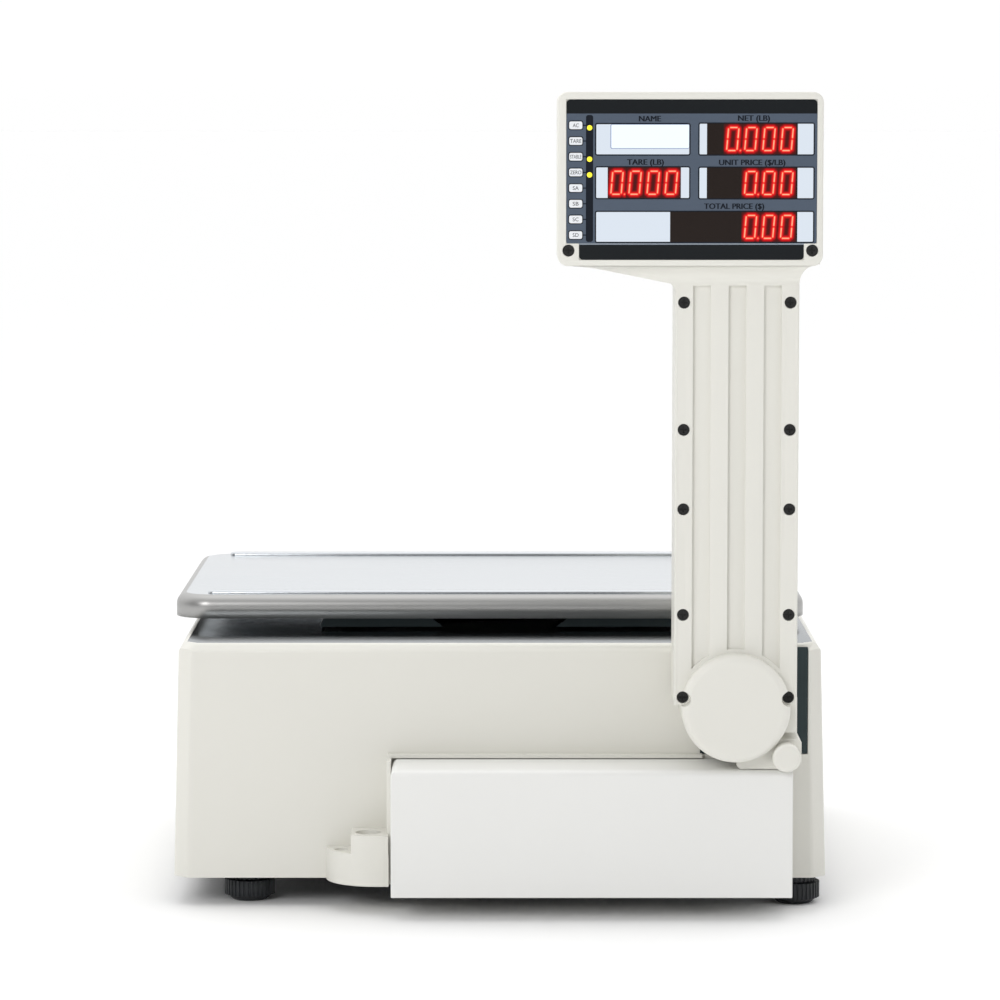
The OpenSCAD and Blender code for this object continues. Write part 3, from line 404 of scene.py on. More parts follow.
@dataclass(frozen=True)
class WoundPaper:
    """The edge of a paper roll, ringed around an axis along X."""

    name: str
    colour: Colour
    centre: tuple[float, float, float]
    pitch: float = 0.0009

    def build(self) -> bpy.types.Material:
        """Returns the finished material."""
        material, tree, shader = new_material(self.name)
        place = tree.node("TexCoord").outputs["Object"]
        middle = tree.put(
            tree.node("Mapping"), Vector=place, Location=tuple(-v for v in self.centre)
        )
        flat = tree.node("VectorMath", operation="MULTIPLY")
        tree.tree.links.new(middle.outputs[0], flat.inputs[0])
        flat.inputs[1].default_value = (0.0, 1.0, 1.0)
        length = tree.node("VectorMath", operation="LENGTH")
        tree.tree.links.new(flat.outputs[0], length.inputs[0])
        turns = tree.math("MULTIPLY", length.outputs["Value"], 2 * math.pi / self.pitch)
        rings = tree.math("SINE", turns)
        value = tree.put(
            tree.node("MapRange"), Value=rings, From_Min=-1.0, To_Min=0.9, To_Max=1.0
        )
        tint = tree.put(tree.node("HueSaturation"), Color=self.colour, Value=value.outputs[0])
        bump = tree.put(tree.node("Bump"), Height=rings, Strength=0.2, Distance=0.0002)
        tree.put(shader, Base_Color=tint.outputs[0], Roughness=0.75, Normal=bump.outputs[0])
        return material


@dataclass(frozen=True)
class SolderMask:
    """A printed circuit board: green mask over straight copper tracks."""

    name: str = "Circuit board"
    mask: Colour = (0.012, 0.11, 0.045)
    track: Colour = (0.03, 0.22, 0.08)

    def build(self) -> bpy.types.Material:
        """Returns the finished material."""
        material, tree, shader = new_material(self.name)
        place = tree.node("TexCoord").outputs["Object"]
        cells = tree.put(
            tree.node("TexVoronoi", distance="MANHATTAN"), Vector=place, Scale=160.0
        )
        tracks = tree.math("GREATER_THAN", cells.outputs["Distance"], 0.42)
        mix = tree.node("Mix", data_type="RGBA")
        tree.tree.links.new(tracks, mix.inputs[0])
        mix.inputs[6].default_value = (*self.mask, 1.0)
        mix.inputs[7].default_value = (*self.track, 1.0)
        bump = tree.put(tree.node("Bump"), Height=tracks, Strength=0.3, Distance=0.0001)
        tree.put(shader, Base_Color=mix.outputs[2], Roughness=0.3, Normal=bump.outputs[0])
        return material


@dataclass(frozen=True)
class Clear:
    """Clear or tinted glass and fluid."""

    name: str
    colour: Colour
    roughness: float = 0.02

    def build(self) -> bpy.types.Material:
        """Returns the finished material."""
        material, tree, shader = new_material(self.name)
        tree.put(
            shader,
            Base_Color=self.colour,
            Roughness=self.roughness,
            Transmission_Weight=1.0,
            IOR=1.45,
        )
        return material


class Finish(Enum):
    """Every finish on the scale."""

    CREAM = Moulded("Cream housing plastic", (0.745, 0.735, 0.68), 0.40, depth=0.006, coat=0.08)
    # The cover's top is cream plastic; this dark metal on it is painted shade and painted
    # reflection of the pan's underside.
    TOP_SHEET = Metal(
        "Dark top with painted shade and reflection", (0.26, 0.275, 0.285), 0.22, (40.0, 900.0, 900.0), 0.02, 0.03, 0.05
    )
    SHELL = Moulded("Cream post plastic", (0.76, 0.75, 0.695), 0.45, depth=0.012)
    WHITE = Moulded("Off-white box plastic", (0.82, 0.82, 0.80), 0.45, depth=0.012)
    PAN = Metal("Brushed stainless pan", (0.545, 0.57, 0.595), 0.26, (5.0, 2600.0, 2600.0), 0.04)
    # A darker copy of the pan's own stainless for the rolled rim: painted shade and painted
    # reflection of the dark room in front.
    PAN_RIM = Metal(
        "Stainless rim darkened as painted shade and reflection", (0.38, 0.378, 0.372), 0.40, (5.0, 2600.0, 2600.0), 0.05, 0.06
    )
    ZINC = Metal("Zinc-plated sheet", (0.58, 0.58, 0.57), 0.34, (60.0, 900.0, 900.0), 0.03)
    CAST = Metal("Machined aluminium", (0.78, 0.79, 0.80), 0.30, (900.0, 30.0, 900.0), 0.04)
    SLATE = Moulded(
        "Blue-grey powder coat", (0.030, 0.046, 0.050), 0.38, 900.0, 0.03, specular=0.22
    )
    CHASSIS = Moulded("Grey chassis coat", (0.10, 0.105, 0.11), 0.45, 900.0, 0.03)
    BLACK = Moulded("Black plastic", (0.013, 0.016, 0.019), 0.42, 1600.0, 0.03, 0.05)
    RUBBER = Moulded("Black rubber", (0.010, 0.010, 0.011), 0.72, 700.0, 0.06, 0.08)
    SCREW = Moulded("Black screw heads", (0.004, 0.004, 0.004), 0.55, 1200.0, 0.03)
    FILM = Moulded(
        "Slate display film", (0.078, 0.102, 0.142), 0.30, 2400.0, 0.004, 0.03, specular=0.3
    )
    STRIP = Moulded("Black display film", (0.008, 0.010, 0.012), 0.26, 2400.0, 0.004, specular=0.2)
    INK = Moulded("Dark printed ink", (0.006, 0.009, 0.016), 0.5, 2400.0, 0.004, specular=0.15)
    LABEL = Moulded("White printed label", (0.80, 0.82, 0.85), 0.4, 2400.0, 0.004)
    # The pale panes are no lamp: their glow is painted light that keeps them pale.
    PANEL_LIT = Lit("Pale window with painted glow", (0.70, 0.77, 0.86), 0.98, 0.01)
    LCD_LIT = Lit("Backlit name window", (0.84, 0.93, 1.0), 1.08, 0.01)
    LCD_EDGE = Lit("Blue edge of the name window", (0.10, 0.16, 0.38), 1.0, 0.01)
    SEAM = Moulded("Pale seam of the film", (0.34, 0.38, 0.43), 0.4, 2400.0, 0.004, specular=0.3)
    YELLOW = Lit("Yellow indicator", (1.0, 0.88, 0.02), 1.3, 0.02)
    DARK_WINDOW = Moulded("Smoked window", (0.016, 0.010, 0.008), 0.22, 2400.0, 0.002, specular=0.2)
    RED_DIGITS = Numerals(
        "Red numerals",
        (
            (0.0, (0.020, 0.008, 0.007)),
            (0.16, (0.10, 0.001, 0.002)),
            (0.38, (0.52, 0.001, 0.004)),
            (0.66, (0.96, 0.006, 0.012)),
            (0.84, (1.0, 0.16, 0.07)),
            (1.0, (1.0, 0.80, 0.52)),
        ),
        1.0,
    )
    SCREEN = Moulded("Grey-green screen", (0.23, 0.28, 0.22), 0.25, 2400.0, 0.002)
    LCD_DIGITS = Numerals(
        "Grey-green numerals",
        ((0.0, (0.23, 0.28, 0.22)), (0.5, (0.22, 0.27, 0.21)), (0.62, (0.015, 0.02, 0.02))),
        0.0,
    )
    KEY_LIGHT = Moulded("Pale keys", (0.62, 0.64, 0.66), 0.5, 1500.0, 0.02)
    KEY_BLUE = Moulded("Blue keys", (0.06, 0.16, 0.36), 0.5, 1500.0, 0.02)
    KEY_GREEN = Moulded("Green keys", (0.05, 0.26, 0.13), 0.5, 1500.0, 0.02)
    KEY_RED = Moulded("Red keys", (0.45, 0.04, 0.03), 0.5, 1500.0, 0.02)
    ROCKER = Moulded("Red rocker", (0.42, 0.015, 0.012), 0.3, 1500.0, 0.01)
    BOARD = SolderMask()
    FLUID = Clear("Level fluid", (0.55, 0.85, 0.18))

    def material(self) -> bpy.types.Material:
        """Returns this finish's material, made on first use."""
        found = bpy.data.materials.get(self.value.name)
        return found or self.value.build()


# ------------------------------------------------------------------ mesh helpers

CUSTOMER = Matrix.Rotation(math.radians(90), 4, "X")
OPERATOR = Matrix.Rotation(math.radians(180), 4, "Z") @ CUSTOMER
SHARP = math.radians(32)
LEVEL = 0.98
FLUSH = 0.01 * MM
HOUSING_ROUND = 1.6 * MM


def rounded_slab(
    width: float,
    height: float,
    depth: float,
    corner: float = 0.0,
    edge: float = 0.0,
    steps: int = 5,
) -> bmesh.types.BMesh:
    """Makes a slab on z = 0 with round corners and a rounded upper edge.

    Args:
        width: Size along X.
        height: Size along Y.
        depth: Size along Z.
        corner: Radius of the four upright corners.
        edge: Radius of the upper edge.
        steps: Segments of each round.

    Returns:
        The slab, centred on x and y.
    """
    slab = bmesh.new()
    bmesh.ops.create_grid(slab, x_segments=1, y_segments=1, size=0.5)
    bmesh.ops.scale(slab, vec=(width, height, 1.0), verts=slab.verts)
    if corner > 0:
        bmesh.ops.bevel(
            slab, geom=slab.verts[:], offset=corner, segments=steps, profile=0.5,
            affect="VERTICES", material=-1, clamp_overlap=False,
        )
    grown = bmesh.ops.extrude_face_region(slab, geom=slab.faces[:])["geom"]
    raised = [g for g in grown if isinstance(g, bmesh.types.BMVert)]
    bmesh.ops.translate(slab, vec=(0.0, 0.0, depth), verts=raised)
    if edge > 0:
        rim = [e for e in slab.edges if all(v.co.z > depth * 0.99 for v in e.verts)]
        bmesh.ops.bevel(
            slab, geom=rim, offset=edge, segments=max(2, steps - 1), profile=0.5,
            affect="EDGES", material=-1, clamp_overlap=False,
        )
    bmesh.ops.recalc_face_normals(slab, faces=slab.faces)
    return slab


def outlined_slab(
    points: Sequence[tuple[float, float]], depth: float, corner: float, steps: int = 6
) -> bmesh.types.BMesh:
    """Makes a slab on z = 0 from a flat outline whose corners are all rounded.

    Args:
        points: The outline's corners in order.
        depth: Size along Z.
        corner: Radius of every corner.
        steps: Segments of each round.

    Returns:
        The slab.
    """
    slab = bmesh.new()
    slab.faces.new([slab.verts.new((x, y, 0.0)) for x, y in points])
    bmesh.ops.bevel(
        slab, geom=slab.verts[:], offset=corner, segments=steps, profile=0.5,
        affect="VERTICES", material=-1, clamp_overlap=False,
    )
    grown = bmesh.ops.extrude_face_region(slab, geom=slab.faces[:])["geom"]
    raised = [g for g in grown if isinstance(g, bmesh.types.BMVert)]
    bmesh.ops.translate(slab, vec=(0.0, 0.0, depth), verts=raised)
    bmesh.ops.recalc_face_normals(slab, faces=slab.faces)
    return slab


def turned(
    radius: float, depth: float, edge: float = 0.0, segments: int = 48, steps: int = 4
) -> bmesh.types.BMesh:
    """Makes a disc on z = 0 with a rounded upper edge and returns it."""
    disc = bmesh.new()
    bmesh.ops.create_cone(
        disc, cap_ends=True, segments=segments, radius1=radius, radius2=radius, depth=depth,
        matrix=Matrix.Translation((0.0, 0.0, depth / 2)),
    )
    if edge > 0:
        rim = [e for e in disc.edges if all(v.co.z > depth * 0.99 for v in e.verts)]
        bmesh.ops.bevel(
            disc, geom=rim, offset=edge, segments=steps, profile=0.5,
            affect="EDGES", material=-1, clamp_overlap=False,
        )
    return disc


def merge(target: bmesh.types.BMesh, part: bmesh.types.BMesh, place: Matrix, slot: int = 0) -> None:
    """Adds a part to a mesh.

    Args:
        target: The mesh that grows.
        part: The part, which is used up.
        place: Where the part goes.
        slot: Material slot of the part's faces.
    """
    bmesh.ops.transform(part, matrix=place, verts=part.verts)
    for face in part.faces:
        face.material_index = slot
    scratch = bpy.data.meshes.new("scratch")
    part.to_mesh(scratch)
    part.free()
    target.from_mesh(scratch)
    bpy.data.meshes.remove(scratch)


def smooth(mesh: bpy.types.Mesh, angle: float = SHARP) -> None:
    """Shades a mesh smooth except across its sharp edges."""
    mesh.polygons.foreach_set("use_smooth", [True] * len(mesh.polygons))
    mesh.set_sharp_from_angle(angle=angle)


def seat(
    mesh_or_bm: bpy.types.Mesh | bmesh.types.BMesh,
    name: str,
    body: str,
    finishes: Sequence[Finish | bpy.types.Material],
    replaces: Iterable[str] = (),
    angle: float = SHARP,
) -> bpy.types.Object:
    """Turns a mesh into a finished piece of the scale.

    Args:
        mesh_or_bm: The piece's mesh in the row frame.
        name: The piece's name.
        body: The CAD body that it rides on.
        finishes: Its materials in slot order.
        replaces: CAD nodes that it stands for.
        angle: Edges sharper than this stay sharp.

    Returns:
        The new object.
    """
    mesh = mesh_or_bm
    if isinstance(mesh_or_bm, bmesh.types.BMesh):
        mesh = bpy.data.meshes.new(name)
        mesh_or_bm.to_mesh(mesh)
        mesh_or_bm.free()
    for finish in finishes:
        mesh.materials.append(finish.material() if isinstance(finish, Finish) else finish)
    smooth(mesh, angle)
    piece = bpy.data.objects.new(name, mesh)
    bpy.context.scene.collection.objects.link(piece)
    if replaces:
        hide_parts(*replaces)
    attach(piece, body)
    log.info("%s: %d faces on %s", name, len(mesh.polygons), body)
    return piece


Selector = Callable[[bmesh.types.BMEdge], bool]


FaceTest = Callable[[bmesh.types.BMFace], bool]


@dataclass(frozen=True)
class Round:
    """Edges of a CAD copy that get a given round."""

    picks: Selector
    width: float
    steps: int = 3


def edge_angle(edge: bmesh.types.BMEdge) -> float:
    """Returns the angle between an edge's two faces, or 0 on an open edge."""
    return edge.calc_face_angle(0.0) if edge.is_manifold else 0.0


def soft_copy(
    node: str,
    name: str,
    finish: Finish,
    rounds: Sequence[Round] = (),
    hairline: float = 0.0004,
    second: tuple[Finish, FaceTest] | None = None,
) -> bpy.types.Object:
    """Copies a CAD node, merges its triangles and rounds its edges as moulding does.

    Args:
        node: The CAD node to copy and stand for.
        name: The new piece's name.
        finish: Its finish.
        rounds: The larger rounds, in order.
        hairline: Width of the small round on every other sharp edge.
        second: A second finish and the faces that have it.

    Returns:
        The new object.
    """
    shape = bmesh.new()
    shape.from_mesh(frame["nodes"][node].data)
    bmesh.ops.remove_doubles(shape, verts=shape.verts, dist=2e-6)
    bmesh.ops.dissolve_limit(
        shape, angle_limit=math.radians(0.6), verts=shape.verts, edges=shape.edges
    )
    for pick in rounds:
        chosen = [e for e in shape.edges if e.is_manifold and pick.picks(e)]
        bmesh.ops.bevel(
            shape, geom=chosen, offset=pick.width, segments=pick.steps, profile=0.5,
            affect="EDGES", material=-1, clamp_overlap=False,
        )
    finishes = [finish]
    if second is not None:
        finishes.append(second[0])
        for face in shape.faces:
            face.material_index = int(second[1](face))
    piece = seat(shape, name, owner(node), finishes, [node], math.radians(38))
    if hairline > 0:
        edge = piece.modifiers.new("Edge round", "BEVEL")
        edge.width = hairline
        edge.segments = 2
        edge.limit_method = "ANGLE"
        edge.angle_limit = math.radians(40)
        edge.use_clamp_overlap = True
        edge.harden_normals = False
    return piece


def is_bend(edge: bmesh.types.BMEdge) -> bool:
    """Tells a long bend of the housing's outside from cuts and bosses."""
    return edge.calc_length() > 0.02 and math.radians(20) < edge_angle(edge) < math.radians(70)


def owner(node: str) -> str:
    """Returns the CAD body that a node belongs to."""
    for body, nodes in frame["record"]["behaviour"]["bodies"].items():
        if node in nodes:
            return body
    raise KeyError(node)


def flat_words(words: str) -> bmesh.types.BMesh:
    """Makes flat letters one unit high over the line, standing on y = 0.

    Args:
        words: The letters.

    Returns:
        The letters' mesh.
    """
    curve = bpy.data.curves.new("lettering", "FONT")
    curve.body = words
    curve.size = 1.0
    curve.extrude = 0.01
    curve.resolution_u = 3
    holder = bpy.data.objects.new("lettering", curve)
    bpy.context.scene.collection.objects.link(holder)
    graph = bpy.context.evaluated_depsgraph_get()
    mesh = bpy.data.meshes.new_from_object(holder.evaluated_get(graph))
    letters = bmesh.new()
    letters.from_mesh(mesh)
    bpy.data.objects.remove(holder)
    bpy.data.curves.remove(curve)
    bpy.data.meshes.remove(mesh)
    return letters


def lettering(
    words: str, height: float, width: float | None = None, bold: float = 0.0
) -> bmesh.types.BMesh:
    """Makes flat lettering with a thin body, centred on the origin in XY.

    Args:
        words: The letters.
        height: Height of the capitals.
        width: Width to squeeze the words into, or None for their natural width.
        bold: How far a copy goes to each side to thicken the strokes.

    Returns:
        The lettering's mesh.
    """
    model = flat_words("H")
    capital = max(v.co.y for v in model.verts)
    model.free()
    letters = flat_words(words)
    low = min(v.co.x for v in letters.verts)
    high = max(v.co.x for v in letters.verts)
    scale = height / capital
    across = scale if width is None else width / (high - low)
    middle = Vector(((low + high) / 2, capital / 2, 0.0))
    place = Matrix.Diagonal((across, scale, scale * 0.1, 1.0)) @ Matrix.Translation(-middle)
    bmesh.ops.transform(letters, matrix=place, verts=letters.verts)
    if bold > 0:
        first = letters.verts[:] + letters.edges[:] + letters.faces[:]
        for side in (-bold, bold):
            copy = bmesh.ops.duplicate(letters, geom=first)["geom"]
            moved = [g for g in copy if isinstance(g, bmesh.types.BMVert)]
            bmesh.ops.translate(letters, vec=(side, 0.0, side * 0.01), verts=moved)
    return letters


# ------------------------------------------------------------------ sub-assemblies


@dataclass
class Studio:
    """Floor, soft lights and the camera at the customer's side."""

    camera_at: tuple[float, float, float] = (0.00016, -2.6945, 0.4782)
    camera_pitch: float = 5.315
    camera_lens: float = 155.6
    camera_sensor: float = 36.0
    floor_size: float = 120.0
    horizon_front: float = 0.03
    horizon_back: float = 1.0
    zenith: float = 0.70

    def build(self) -> None:
        """Makes everything that isn't the scale."""
        self.floor()
        self.lights()
        self.camera()

    def floor(self) -> None:
        """Makes the plain pale floor."""
        sheet = bmesh.new()
        bmesh.ops.create_grid(sheet, x_segments=1, y_segments=1, size=self.floor_size / 2)
        mesh = bpy.data.meshes.new("floor")
        sheet.to_mesh(mesh)
        sheet.free()
        pale = Moulded("Pale floor", (0.95, 0.95, 0.95), 0.8, 30.0, 0.0, 0.0, 0.02, specular=0.1)
        mesh.materials.append(pale.build())
        floor = bpy.data.objects.new("floor", mesh)
        bpy.context.scene.collection.objects.link(floor)

    def lights(self) -> None:
        """Makes the soft boxes and the even surround."""
        world = bpy.data.worlds.new("Surround")
        bpy.context.scene.world = world
        bpy.context.scene.view_settings.view_transform = "Standard"
        world.use_nodes = True
        tree = Tree(world.node_tree)
        way = tree.node("SeparateXYZ")
        tree.tree.links.new(tree.node("TexCoord").outputs["Generated"], way.inputs[0])
        back = tree.put(
            tree.node("MapRange", interpolation_type="SMOOTHSTEP"), Value=way.outputs[1],
            From_Min=-0.7, From_Max=0.5, To_Min=self.horizon_front, To_Max=self.horizon_back,
        )
        above = tree.put(
            tree.node("MapRange"), Value=way.outputs[2], To_Min=0.0, To_Max=self.zenith
        )
        background = world.node_tree.nodes["Background"]
        shining = tree.math("ADD", back.outputs[0], above.outputs[0])
        seen = tree.node("LightPath").outputs["Is Camera Ray"]
        strength = tree.math("MAXIMUM", shining, seen)
        tree.put(background, Color=(1.0, 1.0, 1.0), Strength=strength)
        for name, place, aim, size, power in (
            ("overhead", (0.0, -0.2, 2.2), (0.0, 0.0, 0.2), 2.0, 4.0),
            ("key", (-1.3, -2.7, 1.5), (0.0, 0.0, 0.25), 1.0, 28.0),
            ("fill", (2.2, -2.0, 1.2), (0.0, 0.0, 0.2), 1.6, 3.0),
        ):
            lamp = bpy.data.lights.new(name, "AREA")
            lamp.shape = "SQUARE"
            lamp.size = size
            lamp.energy = power
            holder = bpy.data.objects.new(name, lamp)
            holder.location = place
            toward = Vector(aim) - Vector(place)
            holder.rotation_euler = toward.to_track_quat("-Z", "Y").to_euler()
            bpy.context.scene.collection.objects.link(holder)

    def camera(self) -> None:
        """Makes the camera and sets it."""
        lens = bpy.data.cameras.new("camera")
        lens.lens = self.camera_lens
        lens.sensor_width = self.camera_sensor
        lens.clip_end = 100.0
        holder = bpy.data.objects.new("camera", lens)
        holder.location = self.camera_at
        holder.rotation_euler = (math.radians(90 - self.camera_pitch), 0.0, 0.0)
        bpy.context.scene.collection.objects.link(holder)
        bpy.context.scene.camera = holder


@dataclass
class Housing:
    """The cream cover, its dark hinge plate, sockets, level and everything inside."""

    drawer_wall: float = 6.0 * MM
    vial_rim: float = 1.0 * MM
    vial_step: float = 0.2 * MM
    bubble_share: float = 0.30
    bubble_rise: float = 0.15 * MM

    def build(self) -> None:
        """Makes the housing's pieces."""
        _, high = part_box("body_cover")

        def outer_bend(edge: bmesh.types.BMEdge) -> bool:
            """Tells the long bends of the outside, but not the narrow wall by the drawer."""
            first, last = (v.co for v in edge.verts)
            upright = abs(first.x - last.x) < 3 * MM
            beside_drawer = upright and min(first.y, last.y) > high.y - self.drawer_wall
            return is_bend(edge) and not beside_drawer

        def on_top(face: bmesh.types.BMFace) -> bool:
            """Tells the cover's top faces, which get a dark finish as painted shade and painted
            reflection of the pan's underside.
            """
            return face.normal.z > LEVEL and face.calc_center_median().z > high.z - 1 * MM

        # The top faces get the dark finish: painted shade and painted reflection of the pan on the
        # cream top.
        bends = [Round(outer_bend, HOUSING_ROUND, 4)]
        soft_copy(
            "body_cover", "housing_cover", Finish.CREAM, bends, 0.0003, (Finish.TOP_SHEET, on_top)
        )
        soft_copy("hinge_mounting_plate", "hinge_plate", Finish.SLATE)
        soft_copy("pan_support_frame", "pan_frame", Finish.SLATE, hairline=0.0003)
        self.level()
        self.dress()

    def level(self) -> None:
        """Makes the round spirit level: cup, fluid and bubble ring."""
        low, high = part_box("spirit_level")
        middle = (low + high) / 2
        radius = (high.x - low.x) / 2
        at = Matrix.Translation((middle.x, middle.y, low.z))
        cup = bmesh.new()
        tall = high.z - low.z
        merge(cup, turned(radius, tall - self.vial_step, 0.3 * MM), at)
        merge(cup, turned(radius - self.vial_rim, tall, 0.5 * MM), at, 1)
        merge(cup, turned(radius * self.bubble_share, tall + self.bubble_rise, 0.1 * MM), at, 2)
        finishes = [Finish.BLACK, Finish.FLUID, Finish.LABEL]
        seat(cup, "level_vial", "housing", finishes, ["spirit_level"])

    def dress(self) -> None:
        """Gives every CAD node that stays its finish."""
        plain = {
            Finish.CHASSIS: ["lower_chassis"],
            Finish.ZINC: [
                "cover_screws", "hinge_pivot_tube", "hinge_retaining_ring", "rear_frame_screws",
                "power_supply", "drawer_rails", "printer_tray", "printer_side_plates",
                "motor_pulley", "load_cell_mount",
            ],
            Finish.CAST: ["load_cell", "takeup_spool"],
            Finish.BLACK: [
                "power_inlet", "io_sockets", "printer_motor", "roll_spindle", "print_head",
            ],
            Finish.RUBBER: ["pan_rubber_pads", "drive_belt", "platen_roller"],
            Finish.SCREW: ["load_cell_screws", "post_screws"],
            Finish.BOARD: [
                "customer_display_board", "operator_display_board", "keypad_board", "main_board",
            ],
            Finish.DARK_WINDOW: ["customer_digit_modules"],
            Finish.LCD_LIT: ["name_lcd_module"],
            Finish.ROCKER: ["power_rocker"],
        }
        for finish, nodes in plain.items():
            for node in nodes:
                mesh = frame["nodes"][node].data
                mesh.materials.clear()
                mesh.materials.append(finish.material())


@dataclass
class Pan:
    """The stainless pan: one drawn sheet with a rolled rim and two raised lips."""

    corner: float = 22 * MM
    bull: float = 7 * MM
    sheet: float = 1.5 * MM
    lip_rise: float = 1.8 * MM
    lip_width: float = 9 * MM
    lip_inset: float = 13 * MM
    lip_short: float = 19.5 * MM

    def build(self) -> None:
        """Makes the pan."""
        low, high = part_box("weighing_pan")
        top = high.z - self.lip_rise
        width, depth = high.x - low.x, high.y - low.y
        middle = (low + high) / 2
        skin = bmesh.new()
        bmesh.ops.create_grid(skin, x_segments=1, y_segments=1, size=0.5)
        bmesh.ops.scale(skin, vec=(width, depth, 1.0), verts=skin.verts)
        bmesh.ops.bevel(
            skin, geom=skin.verts[:], offset=self.corner, segments=14, profile=0.5,
            affect="VERTICES", material=-1, clamp_overlap=False,
        )
        rim = [e for e in skin.edges if e.is_boundary]
        hung = bmesh.ops.extrude_edge_only(skin, edges=rim)["geom"]
        drop = [g for g in hung if isinstance(g, bmesh.types.BMVert)]
        bmesh.ops.translate(skin, vec=(0.0, 0.0, low.z - top), verts=drop)
        shoulder = [e for e in skin.edges if all(abs(v.co.z) < 1e-6 for v in e.verts)]
        bmesh.ops.bevel(
            skin, geom=shoulder, offset=self.bull, segments=10, profile=0.5,
            affect="EDGES", material=-1, clamp_overlap=False,
        )
        bmesh.ops.recalc_face_normals(skin, faces=skin.faces)
        if max(skin.faces, key=lambda f: f.calc_area()).normal.z < 0:
            bmesh.ops.reverse_faces(skin, faces=skin.faces)
        # Faces off the level get the darker rim copy of the stainless: painted shade and painted
        # reflection on the rolled rim.
        for face in skin.faces:
            face.material_index = int(face.normal.z < LEVEL)
        bmesh.ops.translate(skin, vec=(middle.x, middle.y, top), verts=skin.verts)
        finishes = [Finish.PAN, Finish.PAN_RIM]
        tray = seat(skin, "pan_tray", "pan", finishes, ["weighing_pan"])
        wall = tray.modifiers.new("Sheet", "SOLIDIFY")
        wall.thickness = self.sheet
        wall.offset = -1.0
        lips = bmesh.new()
        for y in (low.y + self.lip_inset, high.y - self.lip_inset):
            lip = rounded_slab(
                width - 2 * self.lip_short, self.lip_width, self.lip_rise + self.sheet / 2,
                self.lip_width * 0.45, self.lip_rise * 0.8,
            )
            merge(lips, lip, Matrix.Translation((middle.x, y, top - self.sheet / 2)))
        seat(lips, "pan_lips", "pan", [Finish.PAN])


@dataclass
class RearBox:
    """The white box, the flanged frame around it and the stepped lug."""

    def build(self) -> None:
        """Makes the box and its frame."""
        soft_copy("rear_box_cover", "rear_box", Finish.WHITE, hairline=0.0006)
        soft_copy("rear_frame", "rear_frame_moulding", Finish.SHELL, hairline=0.0005)


@dataclass
class Post:
    """Folding post: two shells, round cap, fixed bracket and release button."""

    head_round: float = 1.1 * MM
    post_round: float = 0.9 * MM
    half_width: float = 35.75 * MM
    foot_reach: float = 3.6 * MM
    film_gap: float = 0.15 * MM
    long_edge: float = 30 * MM

    def build(self) -> None:
        """Makes the post's pieces."""
        film_low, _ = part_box("customer_overlay")
        front_low, front_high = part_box("post_front_shell")
        rear_low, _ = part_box("post_rear_shell")
        cap_low, cap_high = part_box("hinge_cap")
        pivot = (cap_low + cap_high) / 2
        head_foot = film_low.z - self.foot_reach - self.film_gap

        def head_rim(edge: bmesh.types.BMEdge) -> bool:
            """Tells the head's outline on its customer face."""
            middle = (edge.verts[0].co + edge.verts[1].co) / 2
            near = min(
                middle.x - front_low.x, front_high.x - middle.x, front_high.z - middle.z,
                abs(middle.z - head_foot),
            )
            on_face = all(abs(v.co.y - front_low.y) < FLUSH for v in edge.verts)
            return on_face and near < 2 * MM and edge_angle(edge) > math.radians(60)

        def post_side(edge: bmesh.types.BMEdge) -> bool:
            """Tells the long upright edges of the post's front."""
            first, last = (v.co for v in edge.verts)
            sheer = abs(first.x - last.x) < FLUSH and abs(first.y - last.y) < FLUSH
            long_one = abs(first.z - last.z) > self.long_edge
            outer = abs(abs(first.x - pivot.x) - self.half_width) < 10 * FLUSH
            return sheer and long_one and outer and first.y < rear_low.y - 5 * MM

        soft_copy(
            "post_front_shell", "post_front", Finish.SHELL,
            [Round(head_rim, self.head_round, 4), Round(post_side, self.post_round, 3)], 0.25 * MM,
        )
        soft_copy("post_rear_shell", "post_rear", Finish.SHELL, [], 0.6 * MM)
        soft_copy("hinge_cap", "hinge_round_cap", Finish.SHELL)
        soft_copy("hinge_bracket", "hinge_fixed_bracket", Finish.SHELL, hairline=0.0006)
        soft_copy("hinge_release_button", "release_button_cap", Finish.SHELL)


